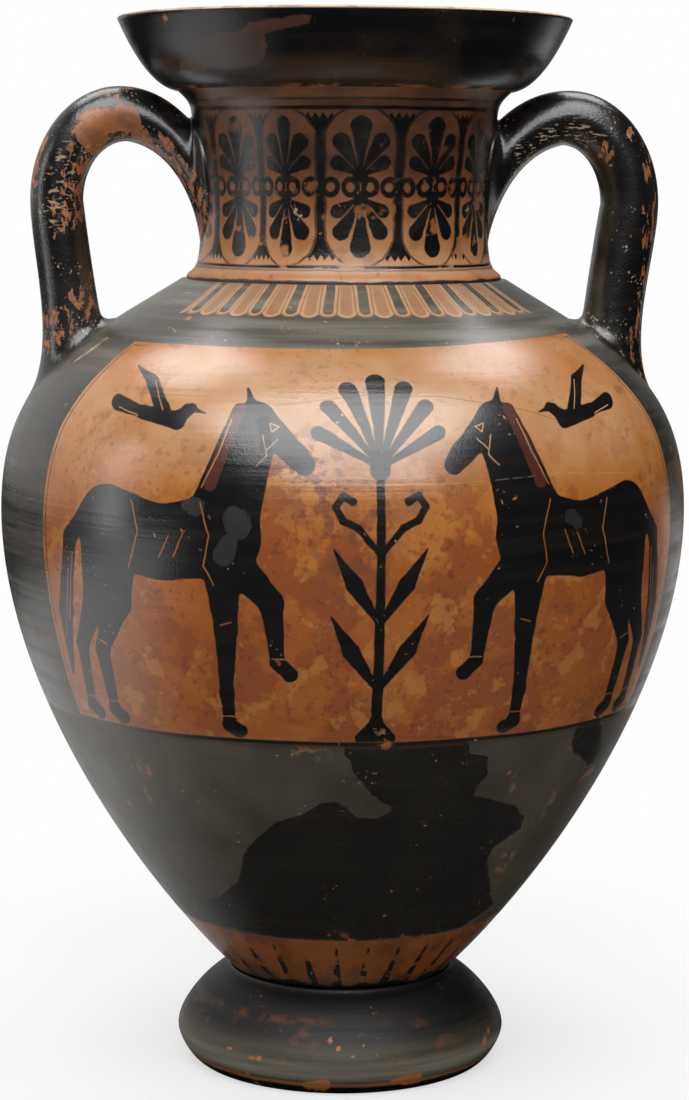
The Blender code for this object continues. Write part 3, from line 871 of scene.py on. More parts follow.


# paint of the neck: the palmette chain between fine lines, darkened towards the mouth by soot and painted
# shade
def neckPaint():
    paint = ClayPaint("paintedNeck")
    pen, where = paint.pen, paint.where
    art = neckArt
    hand = sway(where, 40.0)
    tremble = sway(where, 190.0)
    cell = 2 * math.pi / art["cells"]
    turns = (paint.angle - art["turn"]) / cell + course(paint.angle, art["squeeze"]) + hand * 0.05
    aside = abs(pen.math("FRACT", turns + 0.5) - 0.5) * (cell * art["drawRadius"]) + tremble * 0.0016
    height = paint.height + hand * 0.0016
    updown = abs(height - art["middle"])
    place = flat(pen, aside, updown + tremble * 0.0008)
    half = cell * art["drawRadius"] / 2
    petals = brushed(place, art["petals"], 0.0008)
    # arch over each palmette: a line round a stadium that stands on the middle row
    arch = stroke(place, (0, 0), (0, art["archRise"]), art["archHalf"], art["archHalf"])
    archLine = abs(arch) - art["archLine"]
    # lotus between two arches: a stem that opens into a toothed flower
    fromStem = half - aside
    flower = ramp(updown, *art["flowerRise"])
    teeth = abs(pen.math("FRACT", fromStem / art["toothPitch"]) - 0.5) * art["toothDepth"]
    stemHalf = flower * flower * 0.0052 + 0.0030
    stem = highest(fromStem - stemHalf, updown - art["flowerTop"] + teeth, 0.0004 - arch)
    # chain of links along the middle row
    link = half / 2
    along = (pen.math("FRACT", (half - aside) / link) - 0.5) * link
    ring = pen.vector("LENGTH", flat(pen, along, (height - art["middle"]) * 0.92), output=1)
    links = abs(ring - art["linkRadius"]) - 0.0015 + tremble * 0.0012
    # the ornament thins out towards the handles, where the slip of the handles spreads on
    worn = patches(where, 60.0, 0.60, 0.05, 4.0)
    band = inside(updown - art["halfHeight"])
    drawn = band * highest(inside(petals), inside(archLine) * 0.8, inside(stem), inside(links))
    for level, lineHalf in zip(art["lineLevels"], art["lineHalves"]):
        drawn = highest(drawn, inside(abs(height - level) - lineHalf))
    side = abs(pen.math("WRAP", paint.angle, math.pi / 2, -math.pi / 2)) + hand * 0.10
    wash = ramp(side, art["washAngle"], art["washAngle"] + 0.12) * patches(where, 48.0, 0.40, 0.06, 5.0)
    wash = wash * ramp(height, *art["washRise"])
    slip = highest(drawn * (1 - worn * 0.75), wash)
    slip = slip * (1 - flecks(where, 380.0, 0.66, 0.54) * 0.8)
    inner = ramp(paint.radius, neckShape["waistRadius"] - 0.003, neckShape["waistRadius"] - 0.005)
    slip = slip * (1 - inner)
    # paler towards the foot of the neck as painted light, darker under the mouth as painted shade of its
    # overhang, with some soot
    clay = clayColour(where, 0.60 - ramp(height, *art["paleRise"]) * 0.40)
    clay = coat(clay, patches(where, 36.0, 0.58, 0.06, 5.0) * 0.5, "deep")
    clay = coat(clay, ramp(height, *art["litFootRise"]) * 0.22, "crust")
    sootAndShade = ramp(height, *art["sootShadeRise"]) * (0.80 + patches(where, 44.0, 0.40, 0.25, 4.0) * 0.18)
    clay = coat(clay, sootAndShade, "sootShade")
    colour = blend(slip, clay, slipColour(where, patches(where, 50.0, 0.55, 0.2) * 0.25))
    colour = coat(colour, patches(where, 70.0, 0.71, 0.03, 4.0) * 0.8, "crust")
    wear = sway(where, 70.0, 3.0) * 0.16 - slip * 0.08
    relief = turnedRelief(where, 800.0, 0.3, (5, 5, 220), 0.5)
    return paint.finish(colour, wear, relief, neckShape)


# the neck's wall with a cove that flares under the mouth
def neckProfile():
    shape = neckShape
    wall = neckWall(80)
    level = neckTopLevel - shape["flareHeight"]
    start = (radiusAt(wall, level), level)
    end = (shape["topRadius"] + shape["flareWidth"], neckTopLevel)
    cove = cubic(
        start,
        (start[0] + 0.0006, level + shape["flareHeight"] / 2),
        (end[0] - shape["flareWidth"] / 2, neckTopLevel - shape["flareHeight"] / 4),
        end,
        16,
    )
    outer = joined(wall[wall[:, 1] < level], cove)
    inner = wall[::-2] - (shape["wall"], 0)
    return joined(outer, inner), 0, len(outer) - 1


addTurned("neck", neckShape, neckProfile(), False, neckPaint(), ("neck",))


ringShape = {
    "height": 0.0086,
    "width": 0.0022,
    "gap": 0.0003,
    "segments": 192,
    "rough": 0.5,
    "relief": 0.0005,
    "specular": 0.9,
}


# bead in the angle of neck and shoulder: one cubic from its foot, hollowed where it runs up
# to the neck's wall
def ringProfile():
    shape = ringShape
    foot = neckShape["baseRadius"] + shape["gap"]
    outside = foot + shape["width"]
    bottom = shoulderLevel
    top = bottom + shape["height"]
    wall = neckWall(60)
    middle = (bottom + top) / 2
    landing = radiusAt(wall, top) + shape["gap"]
    bead = cubic(
        (outside - shape["width"] / 10, bottom),
        (outside + shape["width"] / 4, middle),
        (landing + shape["width"] / 2, middle),
        (landing, top),
        18,
    )
    return joined((foot, bottom), bead, (radiusAt(wall, middle) + shape["gap"], middle)), 1, len(bead)


# paint of the ring: bare clay between a dark foot and a fine line
def ringPaint():
    paint = ClayPaint("ringClay")
    where = paint.where
    clay = clayColour(where, 0.45 + sway(where, 20.0) * 0.4)
    # a dark crack line along the foot of the bead, with painted shade in its gap
    rag = sway(where, 90.0, 4.0) * 0.0030
    rise = paint.height - shoulderLevel
    darkening = ramp(rise + rag, 0.0021, 0.0013)
    line = inside(abs(rise + rag * 0.5 - 0.0076) - 0.0004) * 0.7
    slips = patches(where, 70.0, 0.62, 0.05, 4.0) * 0.6
    clay = coat(clay, ramp(rise, 0.003, 0.006) * 0.25, "crust")
    colour = blend(highest(darkening, line, slips), clay, tones["brown"])
    colour = coat(colour, darkening, "jet")
    return paint.finish(colour, sway(where, 80.0) * 0.2, cloud(where, 700.0, 2.0), ringShape)


addTurned("neckRing", ringShape, ringProfile(), False, ringPaint(), ("neck_ring",))


mouthShape = {
    "baseRadius": 0.0990,
    "bore": 0.0835,
    "lipRoundWidth": 0.0050,
    "lipRoundHeight": 0.0020,
    "lipFlat": 0.0110,
    "lipEase": 0.0030,
    "flareSpread": (0.42, 0.76),
    "flareRise": (0.07, 0.53),
    "boreRise": 0.0063,
    "slipEnd": (0.068, 0.074),
    "wornPatch": [
        (-92, 596, 8, -62, 598, 9.5), (-112, 590, 2.5, -96, 591, 5), (-62, 607, 4, -30, 612.5, 2.5),
    ],
    "rustyEnd": [(-66, 608, 3, -30, 612, 3), (-54, 604, 3, -51, 592, 3)],
    "segments": 240,
    "rough": 0.25,
    "relief": 0.0006,
    "specular": 0.45,
}


# mouth: flare up the outside, rounded lip, then a funnel down to the bore
def mouthProfile():
    shape = mouthShape
    rise = rimLevel - neckTopLevel
    spreadOut = mouthRadius - shape["baseRadius"]
    lipOut = mouthRadius - shape["lipRoundWidth"]
    lipIn = lipOut - shape["lipFlat"] - shape["lipEase"]
    shoulder = rimLevel - shape["lipRoundHeight"]
    pulls = [
        (shape["baseRadius"] + spreadOut * out, neckTopLevel + rise * up)
        for out, up in zip(shape["flareSpread"], shape["flareRise"])
    ]
    flare = cubic((shape["baseRadius"], neckTopLevel), *pulls, (mouthRadius, shoulder), 40)
    lip = quarterRound((lipOut, rimLevel), (mouthRadius, shoulder), 14)[::-1]
    ease = quarterRound((lipIn + shape["lipEase"], rimLevel), (lipIn, rimLevel - shape["lipEase"]), 8)
    funnel = cubic(
        (lipIn, rimLevel - shape["lipEase"]),
        (lipIn, neckTopLevel + rise * 2 / 3),
        ((shape["bore"] + lipIn) / 2, neckTopLevel + shape["boreRise"]),
        (shape["bore"], neckTopLevel + shape["boreRise"]),
        26,
    )
    wallEnd = len(flare) + len(lip) + len(ease)
    return joined(flare, lip, ease, funnel, (shape["bore"], neckTopLevel)), 0, wallEnd


# paint of the mouth: slip that is rubbed off the lip, and bare clay inside
def mouthPaint():
    paint = ClayPaint("paintedMouth")
    where, height = paint.where, paint.height
    # the slip is rubbed off the lip and goes a little way down inside
    lip = ramp(height, rimLevel - 0.0016, rimLevel - 0.0009)
    lip = lip * (0.5 + patches(where, 60.0, 0.40, 0.08, 5.0) * 0.5)
    inner = ramp(paint.run, *mouthShape["slipEnd"])
    chips = patches(where, 60.0, 0.72, 0.03, 5.0)
    edge = ramp(height, neckTopLevel + 0.0022, neckTopLevel + 0.0006) * patches(where, 55.0, 0.50, 0.1)
    slip = (1 - lip) * (1 - chips * 0.7) * (1 - inner * 0.9) * (1 - edge * 0.7)
    # a worn brown patch on the left of the front, rusty along its right end
    jag = sway(where, 120.0, 4.0, 0.65) * 0.008
    place = flat(paint.pen, paint.angle * paint.radius + jag, height + jag * 0.6)
    worn = inside(brushed(place, mouthShape["wornPatch"], 0.002), 0.0010)
    rusty = inside(brushed(place, mouthShape["rustyEnd"], 0.002), 0.0030) * worn
    dull = patches(where, 26.0, 0.50, 0.10, 5.0) * 0.08
    mattness = highest(worn * 0.25, dull)
    lipTop = lip * ramp(paint.radius, mouthRadius - 0.0035, mouthRadius - 0.0055)
    # the flat top of the lip gets deeper clay: painted shade
    clay = clayColour(where, 0.40 + inner * 0.25 + lipTop * 0.45)
    clay = coat(clay, (lip - lipTop * 0.75) * 0.8, "crust")
    colour = blend(slip, clay, slipColour(where, mattness))
    colour = coat(colour, highest(rusty * 0.7, worn * 0.2), "red")
    colour = coat(colour, flecks(where, 330.0, 0.68, 0.58) * 0.5, "deep")
    wear = sway(where, 60.0, 3.0) * 0.14 + mattness * 0.40 + lip * 0.20
    relief = turnedRelief(where, 800.0, 0.3, (4, 4, 240), 0.6)
    return paint.finish(colour, wear, relief, mouthShape)


addTurned("mouth", mouthShape, mouthProfile(), False, mouthPaint(), ("mouth",))


footShape = {
    "treadRadius": 0.0868,
    "inset": 0.0008,
    "treadWidth": 0.0110,
    "stemRadius": 0.0672,
    "stemHeight": 0.0045,
    "stemFlare": 0.0055,
    "edgeHeight": 0.018,
    "hollowRadius": 0.052,
    "hollowHeight": 0.028,
    "crownSlope": 0.52,
    "crownPull": 0.40,
    "edgePull": 0.30,
    "stemLean": (-0.003, 0.0016),
    "bareLevel": 0.0070,
    "bandLevel": 0.0415,
    "wornLitLevel": 0.018,
    "dustSheenLevel": 0.0145,
    "bites": [
        (-26, 6, 3.0, -17, 7, 4.5), (26, 8, 3.0, 39, 8, 4.2), (-79, 22, 0.8, -77, 22.5, 1.0),
        (-62, 20, 1.0, -60, 20, 1.0),
        (-57, 20, 1.1, -56, 20.5, 1.1), (-12, 33, 0.8, -12, 34, 0.8), (-8, 29, 1.0, -7, 30, 1.0),
        (95, 18, 1.6, 98, 20, 2.2),
        (104, 24, 1.2, 105, 25, 1.2),
    ],
    "segments": 224,
    "rough": 0.42,
    "relief": 0.0006,
    "specular": 0.4,
}


# foot: hollow below, flat tread, cushion moulding and short stem
def footProfile():
    shape = footShape
    tread = shape["treadRadius"]
    widest = footRadius - shape["inset"]
    edge = (widest, shape["edgeHeight"])
    crown = (shape["stemRadius"] + shape["stemFlare"], footTop - shape["stemHeight"])
    pull = shape["crownPull"] * (widest - crown[0])
    top = (shape["hollowRadius"], shape["hollowHeight"])
    hollow = quarterRound(top, (tread - shape["treadWidth"], 0), 14)
    under = cubic((tread, 0), (tread + (widest - tread) / 3, 0), (widest, edge[1] * 2 / 3), edge, 16)
    cushion = cubic(
        edge,
        (widest, edge[1] + shape["edgePull"] * (crown[1] - edge[1])),
        (crown[0] + pull, crown[1] - shape["crownSlope"] * pull),
        crown,
        40,
    )
    stemRadius = shape["stemRadius"]
    lean = crown + np.array(shape["stemLean"])
    stem = cubic(crown, lean, (stemRadius, footTop - 0.002), (stemRadius, footTop), 8)
    profile = joined((0, shape["hollowHeight"]), hollow, under, cushion, stem, (0, footTop))
    return profile, len(hollow) + 1, len(profile) - 2


# paint of the foot: chipped and dusty slip over a bare line near the ground, with a painted highlight low on
# it and painted shade at its top and along the ground
def footPaint():
    paint = ClayPaint("paintedFoot")
    where, height = paint.where, paint.height
    # a bare line runs near the ground, with a red line of thinned slip above it, and chips bite into the
    # black
    bareEdge = inside(abs(height + sway(where, 45.0) * 0.003 - footShape["bareLevel"]) - 0.0011)
    jag = sway(where, 120.0, 4.0, 0.65) * 0.009
    place = flat(paint.pen, paint.angle * paint.radius + jag, height + jag)
    chips = inside(brushed(place, footShape["bites"], 0.001), 0.001)
    chips = highest(chips, patches(where, 46.0, 0.63, 0.02, 4.0) * ramp(height, 0.020, 0.010))
    pits = patches(where, 80.0, 0.71, 0.03, 5.0) * 0.8
    chips = highest(chips, pits, flecks(where, 260.0, 0.68, 0.56) * 0.8)
    slip = (1 - bareEdge * 0.85) * (1 - chips)
    band = inside(abs(height - footShape["bandLevel"]) - 0.0016, 0.002)
    band = band * patches(where, 75.0, 0.45, 0.12, 4.0)
    band = band * ramp(paint.angle, -0.10, -0.30) * ramp(paint.angle, -1.35, -1.05)
    streak = cloud(stretched(where, (7, 7, 170)), 1.0, 3.0, 0.6)
    # a grey band low on the foot: worn slip and a painted highlight; the upper crown stays jet black as
    # painted shade under the body
    mattBand = inside(abs(height - footShape["wornLitLevel"]) - 0.012, 0.010)
    mattness = (ramp(streak, 0.42, 0.75) * 0.55 + mattBand * 0.60) * ramp(height, 0.036, 0.026)
    clay = clayColour(where, 0.62)
    colour = blend(slip, clay, slipColour(where, mattness))
    rusted = patches(stretched(where, (1, 1, 1.6)), 55.0, 0.58, 0.10, 5.0)
    rusted = rusted * ramp(height, 0.012, 0.020) * ramp(height, 0.044, 0.036)
    colour = coat(colour, highest(band * 0.4, rusted * 0.30) * slip, "rust")
    # dust, with a painted highlight, lies low on the foot
    dustAndSheen = inside(abs(height - footShape["dustSheenLevel"]) - 0.0040, 0.008)
    dustAndSheen = dustAndSheen * (0.38 + ramp(streak, 0.38, 0.68) * 0.55)
    colour = coat(colour, dustAndSheen * slip, "ash")
    colour = coat(colour, bareEdge * 0.35, "red")
    # black along the ground: a painted shadow under the tread
    colour = coat(colour, ramp(height, 0.0058, 0.0046) * (1 - chips * 0.6), "jet")
    wear = (streak - 0.5) * 0.40 + ramp(height, 0.020, 0.032) * 0.12
    relief = cloud(where, 700.0, 2.0) * 0.3 + streak * 0.7
    return paint.finish(colour, wear, relief, footShape)


addTurned("foot", footShape, footProfile(), True, footPaint(), ("foot",))


handleShape = {
    "thickness": 0.0318,
    "width": 0.0330,
    "crestRadius": 0.1310,
    "crestRise": 0.0017,
    "bendDrop": 0.0660,
    "limbLean": 0.0155,
    "neckRootDrop": 0.0183,
    "neckRootLength": 0.0690,
    "neckRootWidth": 0.0420,
    "shoulderRootDrop": 0.0283,
    "shoulderRootLength": 0.0400,
    "shoulderRootWidth": 0.0410,
    "sink": 0.0045,
    # share of the loop over which it broadens towards each root
    "neckRootShare": 0.30,
    "shoulderRootShare": 0.24,
    # flares at the roots: across, along the outer edge and along the inner edge
    "neckFlare": (0.008, 0.004, 0.002),
    "shoulderFlare": (0.010, 0.005, 0.009),
    "flareStart": 0.0004,
    "hugReach": 0.025,
    "shoulderHug": 0.142,
    "capDepth": 0.002,
    "sides": 48,
    "rough": 0.25,
    "relief": 0.0007,
    "specular": 0.9,
}


# outer and inner edge of the loop in radius and height, from the neck's wall to the shoulder's;
# each handle differs a little from the other, as it was pulled by hand
def handleEdges(own):
    shape = handleShape
    thick = shape["thickness"]
    neck, body = neckWall(120), bodyWall()
    pointAt = lambda wall, level: np.array((radiusAt(wall, level), level))
    crestLevel = neckTopLevel + shape["crestRise"] - own["crestDrop"]
    crest = np.array((shape["crestRadius"] + own["crestOut"], crestLevel))
    arch = crest - (thick / 8, thick)
    bend = np.array((handleReach + own["reach"], crest[1] - shape["bendDrop"]))
    innerBend = np.array((handleReach - thick - own["limb"] / 2, bend[1]))
    outerRoot = pointAt(neck, neckTopLevel - shape["neckRootDrop"])
    innerRoot = pointAt(neck, outerRoot[1] - shape["neckRootLength"])
    innerFoot = pointAt(body, shoulderLevel - shape["shoulderRootDrop"])
    outerFoot = pointAt(body, innerFoot[1] - shape["shoulderRootLength"])
    throat = (arch[1] - innerRoot[1]) / 3
    leaning = (bend[0] - shape["limbLean"] - own["lean"], outerFoot[1] + thick)
    outer = joined(
        outerRoot - (shape["sink"], 0),
        cubic(outerRoot, outerRoot + thick / 4, ((outerRoot[0] + crest[0]) / 2, crest[1]), crest, 90),
        quarterRound(crest, bend, 40),
        cubic(bend, bend - (0, thick), leaning, outerFoot, 100),
        outerFoot - (shape["sink"], shape["sink"]),
    )
    inner = joined(
        innerRoot - (shape["sink"], 0),
        cubic(
            innerRoot,
            innerRoot + (throat / 5 - own["throat"], throat),
            (innerRoot[0] + thick / 2 - own["throat"], arch[1] - throat / 3 + own["throat"]),
            arch,
            90,
        ),
        quarterRound(arch, innerBend, 40),
        cubic(
            innerBend,
            innerBend - (own["limb"], thick / 2),
            ((innerBend[0] + innerFoot[0]) / 2 - own["limb"], innerFoot[1] + thick / 2),
            innerFoot,
            100,
        ),
        innerFoot - (shape["sink"], shape["sink"]),
    )
    return outer, inner


# flare at a root: R (1 - d/2R)^4 at a distance d from the wall, which runs smoothly out into the limb
def fillet(distance, radius):
    near = np.clip(1 - distance / (2 * radius), 0, 1)
    return radius * near ** 4


# loop: ovals between the two edges, x and z along the line from inner to outer edge by (1 + cos)/2,
# y by sin times the half width; ovals grow by a fillet at each root and bend round the wall they meet
def handleMesh(name, sign, own):
    shape = handleShape
    outer, inner = handleEdges(own)
    run = runOf((outer + inner) / 2)
    along = run / run[-1]
    fromNeck = run - run[1] - shape["flareStart"]
    fromShoulder = run[-2] - run - shape["flareStart"]
    neckFlare = [fillet(fromNeck, radius) for radius in shape["neckFlare"]]
    shoulderFlare = [fillet(fromShoulder, radius) for radius in shape["shoulderFlare"]]
    atNeck = np.clip(1 - along / shape["neckRootShare"], 0, 1) ** 2
    atShoulder = np.clip(1 - (1 - along) / shape["shoulderRootShare"], 0, 1) ** 2
    half = (
        shape["width"]
        + atNeck * (shape["neckRootWidth"] - shape["width"])
        + atShoulder * (shape["shoulderRootWidth"] - shape["width"])
    ) / 2 + neckFlare[0] + shoulderFlare[0]
    way = (outer - inner) / np.hypot(*(outer - inner).T)[:, None]
    # at the shoulder the flare runs along the wall, downhill outside and uphill inside
    body = bodyWall()
    downhill = np.gradient(body, axis=0)
    downhill = -downhill / np.hypot(*downhill.T)[:, None]
    slopeAt = lambda level: np.array([np.interp(level, body[:, 1], downhill[:, axis]) for axis in (0, 1)])
    outer = outer + way * neckFlare[1][:, None]
    outer = outer + slopeAt(outer[-2, 1]) * shoulderFlare[1][:, None]
    inner = inner - way * neckFlare[2][:, None]
    inner = inner - slopeAt(inner[-2, 1]) * shoulderFlare[2][:, None]
    turn = np.linspace(0, 2 * math.pi, shape["sides"] + 1)
    share = (1 + np.cos(turn[:-1])) / 2
    reach = inner[:, :1] + share * (outer - inner)[:, :1]
    level = inner[:, 1:] + share * (outer - inner)[:, 1:]
    across = half[:, None] * np.sin(turn[:-1])
    for wallRadius, distance in ((neckShape["baseRadius"], fromNeck), (shape["shoulderHug"], fromShoulder)):
        close = np.clip(1 - distance / shape["hugReach"], 0, 1)[:, None] ** 2
        reach = reach - close * (wallRadius - np.sqrt(wallRadius ** 2 - across ** 2))
    rings = np.stack([sign * reach, sign * across, level], axis=2)
    ends = [np.repeat(rings[i].mean(axis=0)[None, None], shape["sides"], axis=1) for i in (0, -1)]
    rings = np.concatenate([ends[0], rings, ends[1]])
    run = np.concatenate([[-shape["capDepth"]], run, [run[-1] + shape["capDepth"]]])
    bakeV = spread(np.diff(run), np.ones(len(run) - 1))
    return ringMesh(name, rings, turn, run, onMap(turn / turn[-1]), bakeV, True)


# each handle: how its loop differs, and where the slip has gone, as stretches along the loop in metres,
# from the inner edge (-1) to the outer (1), and how much of it is gone
handleSides = {
    "left": {
        "sign": -1,
        "own": {
            "crestDrop": -0.0006, "crestOut": 0.0, "reach": -0.0018, "limb": 0.0018, "lean": 0.0,
            "throat": 0.002,
        },
        "bare": [
            (0.056, 0.098, -0.80, 0.30, 1.05), (0.020, 0.135, -1.2, -0.60, 0.56),
            (0.096, 0.156, -1.2, 0.25, 0.47),
            (0.104, 0.136, 0.72, 1.2, 0.58), (0.056, 0.080, 0.45, 1.0, 0.46),
            (0.190, 0.214, -1.2, 1.2, 0.48), (-0.01, 0.056, -1.2, -0.05, 0.52),
        ],
        "scratches": (0.10, 0.15, -0.6, 0.4),
        "grain": (1.0, 1.0, 0.6),
        "innerWear": 0.15,
        "offset": (0.0, 0.0, 0.0),
    },
    "right": {
        "sign": 1,
        "own": {
            "crestDrop": 0.0003, "crestOut": 0.0015, "reach": 0.0010, "limb": 0.0030, "lean": 0.0032,
            "throat": 0.0,
        },
        "bare": [
            (0.095, 0.228, 0.40, 0.97, 0.42), (0.205, 0.226, 0.0, 1.2, 0.42),
            (0.090, 0.104, -0.7, -0.2, 0.52),
        ],
        "scratches": (0.030, 0.090, -0.85, -0.10),
        "grain": (1.0, 1.0, 0.28),
        "innerWear": 0.50,
        "offset": (3.7, 0.0, 0.0),
    },
}


# paint of a handle: slip that has flaked off in stretches
def handlePaint(name, spec):
    paint = ClayPaint(name)
    pen, run = paint.pen, paint.run
    where = pen.vector("ADD", paint.where, spec["offset"])
    out = pen.math("COSINE", paint.angle)
    jag = sway(where, 70.0, 5.0, 0.6) * 0.022

    def stretch(low, high, inmost, outmost):
        ends = highest(low - run, run - high)
        sides = highest(inmost - out, out - outmost) * 0.016
        return inside(highest(ends, sides) + jag, 0.004)

    # flakes: where a scaly noise passes a level that falls with the share of slip that is gone
    gone = None
    for low, high, inmost, outmost, share in spec["bare"]:
        part = stretch(low, high, inmost, outmost) * share
        gone = part if gone is None else highest(gone, part)
    scales = cloud(stretched(where, spec["grain"]), 230.0, 5.0, 0.68)
    bare = ramp(scales + gone * 0.40, 0.715, 0.735)
    crust = stretch(*spec["scratches"]) * patches(stretched(where, (0.32, 1, 1.2)), 520.0, 0.57, 0.05, 3.0)
    crust = highest(crust, flecks(where, 520.0, 0.62, 0.57))
    streak = patches(stretched(where, (40, 40, 12)), 1.0, 0.52, 0.2) * 0.15
    # the slip is rubbed matt on the inner side of the lower loop
    mattBand = ramp(out, -0.35, -0.75) * ramp(run, 0.10, 0.13) * patches(where, 40.0, 0.35, 0.20, 4.0)
    # dull where the slip of the shoulder runs up the root
    root = ramp(run + jag * 0.5, 0.222, 0.238)
    streak = highest(streak, mattBand * spec["innerWear"], root * 0.6)
    clay = blend(patches(where, 90.0, 0.42, 0.25, 4.0) * 0.65, clayColour(where, 0.85), tones["stain"])
    slipTone = blend(root * 0.25, slipColour(where, streak), tones["ash"])
    colour = blend(bare, slipTone, clay)
    colour = coat(colour, crust * 0.75, "crust")
    wear = sway(where, 70.0, 3.0) * 0.16 + highest(bare, root) * 0.18
    relief = cloud(where, 600.0, 2.0) * 0.4 + cloud(where, 60.0, 2.0) * 0.8 - bare * 0.5
    return paint.finish(colour, wear, relief, handleShape)


for side, spec in handleSides.items():
    name = f"handle_{side}_loop"
    loop = handleMesh(name, spec["sign"], spec["own"])
    addPiece(name, loop, handlePaint(f"{side}HandlePaint", spec), (f"handle_{side}",))


studio = {
    "floorReach": 6.0,
    "floorGrey": 0.42,
    "shadowShare": 0.40,
    "shadowReach": (0.30, 0.85),
    "fill": 0.16,
    "mirrored": 0.01,
    "mirroredFloor": 0.022,
    "edgeGlow": 0.58,
    "backdrop": (-0.55, 0.835, 0.0),
    "nearFloor": (0.0, 0.3),
    "farFloor": (1.4, 0.8),
    "glowSpread": (0.35, 0.95),
    "key": {"place": (-0.15, -1.40, 2.2), "aim": (-0.15, -1.00, 0.40), "size": (3.0, 2.0), "watts": 53.0},
    "overhead": {"place": (0.0, 0.90, 2.2), "aim": (0.0, 0.85, 0.40), "size": (2.6, 1.3), "watts": 33.0},
    "left": {"place": (-2.2, -0.3, 0.8), "aim": (0.0, 0.0, 0.33), "size": (0.5, 1.4), "watts": 3.5},
    "front": {"place": (0.1, -2.6, 1.6), "aim": (0.0, 0.0, 0.25), "size": (2.2, 0.5), "watts": 12.0},
}


# the rays that see the background as it looks, not as it lights
def seeingRays(pen):
    kinds = ("Camera", "Glossy", "Transmission")
    return [pen.node("ShaderNodeLightPath", {}, {}, f"Is {kind} Ray") for kind in kinds]


# pale floor, seen white but for the jar's shadow close to it, and a white backdrop behind the jar
def buildStudio():
    reach = studio["floorReach"]
    mesh = bpy.data.meshes.new("floor")
    signs = ((-1, -1), (1, -1), (1, 1), (-1, 1))
    corners = [(reach * x, reach * y, cadLow.z) for x, y in signs]
    mesh.from_pydata(corners, [], [(0, 1, 2, 3)])
    floor = bpy.data.objects.new("floor", mesh)
    scene.collection.objects.link(floor)
    floor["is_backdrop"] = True
    material = bpy.data.materials.new("paleFloor")
    material.use_nodes = True
    tree = material.node_tree
    pen = Wire(tree)
    shader = tree.nodes["Principled BSDF"]
    shader.inputs["Roughness"].default_value = 0.9
    shader.inputs["Specular IOR Level"].default_value = 0.0
    camera, glossy, transmission = seeingRays(pen)
    place = pen.node("ShaderNodeTexCoord", {}, {}, "Object")
    depth = pen.vector("DOT_PRODUCT", place, studio["backdrop"], output=1)
    behind = ramp(depth, *studio["nearFloor"]) * ramp(depth, *studio["farFloor"])
    seen = highest(camera, transmission, glossy * behind * studio["edgeGlow"])
    grey = studio["floorGrey"]
    dim = studio["mirroredFloor"]
    plain = blend(glossy, (grey, grey, grey, 1), (dim, dim, dim, 1))
    colour = blend(seen, plain, (1, 1, 1, 1))
    tree.links.new(colour.socket, shader.inputs["Base Color"])
    glow = pen.node("ShaderNodeEmission", {}, {"Color": (1, 1, 1, 1), "Strength": 1.0})
    away = pen.vector("LENGTH", place, output=1)
    shaded = ramp(away, *studio["shadowReach"][::-1]) * studio["shadowShare"]
    inputs = {0: seen * (1 - shaded), 1: Wire(tree, shader.outputs[0]), 2: glow}
    mixed = pen.node("ShaderNodeMixShader", {}, inputs)
    tree.links.new(mixed.socket, tree.nodes["Material Output"].inputs["Surface"])
    mesh.materials.append(material)

    world = bpy.data.worlds.new("studio")
    scene.world = world
    world.use_nodes = True
    tree = world.node_tree
    pen = Wire(tree)
    camera, glossy, transmission = seeingRays(pen)
    way = pen.node("ShaderNodeTexCoord", {}, {}, "Generated")
    facing = pen.vector("DOT_PRODUCT", way, studio["backdrop"], output=1)
    behind = ramp(facing, *studio["glowSpread"])
    level = glossy * (studio["mirrored"] - studio["fill"]) + studio["fill"]
    strength = highest(camera, transmission, glossy * behind * studio["edgeGlow"], level)
    background = tree.nodes["Background"]
    background.inputs["Color"].default_value = (1, 1, 1, 1)
    tree.links.new(strength.socket, background.inputs["Strength"])


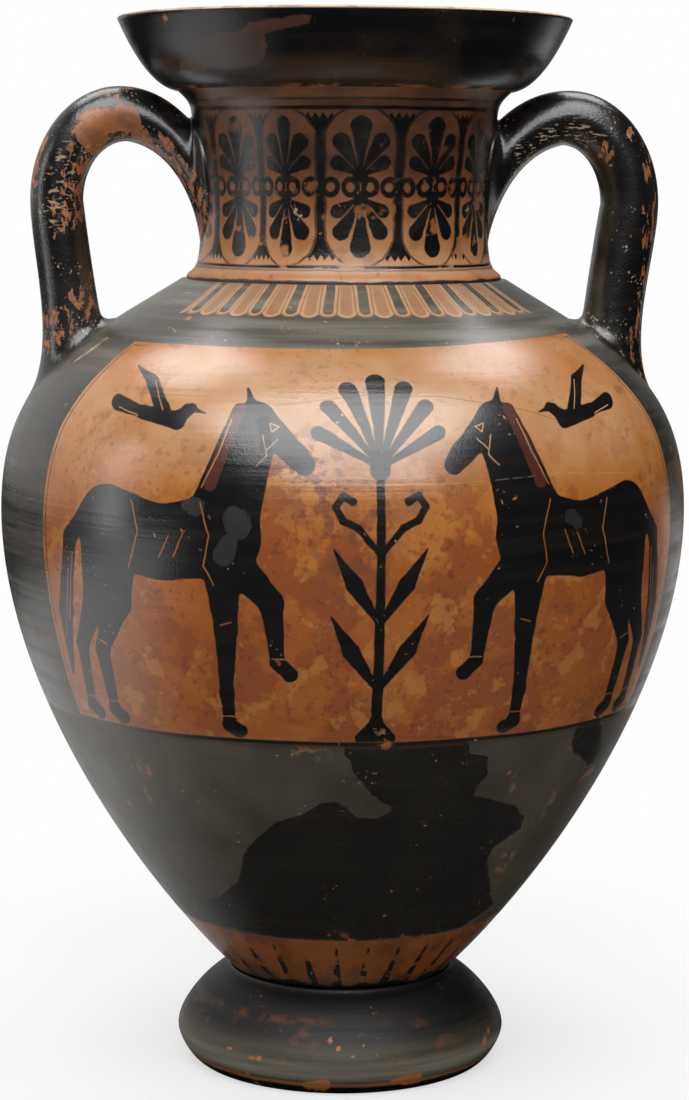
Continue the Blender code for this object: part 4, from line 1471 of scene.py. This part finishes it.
# one soft lamp, turned from its place to its aim
def buildLight(name):
    spec = studio[name]
    lamp = bpy.data.lights.new(name, "AREA")
    lamp.shape = "RECTANGLE"
    lamp.size, lamp.size_y = spec["size"]
    lamp.energy = spec["watts"]
    holder = bpy.data.objects.new(name, lamp)
    scene.collection.objects.link(holder)
    place, aim = np.array(spec["place"]), np.array(spec["aim"])
    toward = aim - place
    level = math.hypot(toward[0], toward[1])
    holder.location = place
    holder.rotation_euler = (math.atan2(level, -toward[2]), 0, math.atan2(-toward[0], toward[1]))


view = {
    "distance": 1.686,
    "eyeLevel": 0.5316,
    "azimuth": math.radians(4.2),
    "pitch": math.radians(7.59),
    "roll": math.radians(0.29),
    "aside": math.radians(0.042),
    "focalPixels": 2849.0,
    "framePixels": (689, 1100),
}


# camera on a level circle round the jar, tipped down and rolled a little
def buildCamera():
    lens = bpy.data.cameras.new("camera")
    lens.sensor_width = 36.0
    lens.lens = view["focalPixels"] / max(view["framePixels"]) * lens.sensor_width
    camera = bpy.data.objects.new("camera", lens)
    scene.collection.objects.link(camera)
    azimuth = view["azimuth"]
    camera.location = (
        -view["distance"] * math.sin(azimuth),
        -view["distance"] * math.cos(azimuth),
        view["eyeLevel"],
    )
    # turns applied in order: roll about the line of sight, pitch, heading
    roll, tip, heading = view["roll"], math.pi / 2 - view["pitch"], -azimuth - view["aside"]
    turnZ = lambda a: np.array([[math.cos(a), -math.sin(a), 0], [math.sin(a), math.cos(a), 0], [0, 0, 1]])
    turnX = np.array([[1, 0, 0], [0, math.cos(tip), -math.sin(tip)], [0, math.sin(tip), math.cos(tip)]])
    turned = turnZ(heading) @ turnX @ turnZ(roll)
    camera.rotation_euler = (
        math.atan2(turned[2, 1], turned[2, 2]),
        -math.asin(turned[2, 0]),
        math.atan2(turned[1, 0], turned[0, 0]),
    )
    scene.camera = camera


buildStudio()
for lamp in ("key", "overhead", "left", "front"):
    buildLight(lamp)
buildCamera()
scene.view_settings.view_transform = "Standard"
print("studio and camera set")


def boxesToFile():
    low = np.full(3, np.inf)
    high = -low
    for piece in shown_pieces():
        count = len(piece.data.vertices)
        points = np.empty(count * 3)
        piece.data.vertices.foreach_get("co", points)
        points = points.reshape(-1, 3)
        low, high = np.minimum(low, points.min(axis=0)), np.maximum(high, points.max(axis=0))


boxesToFile()
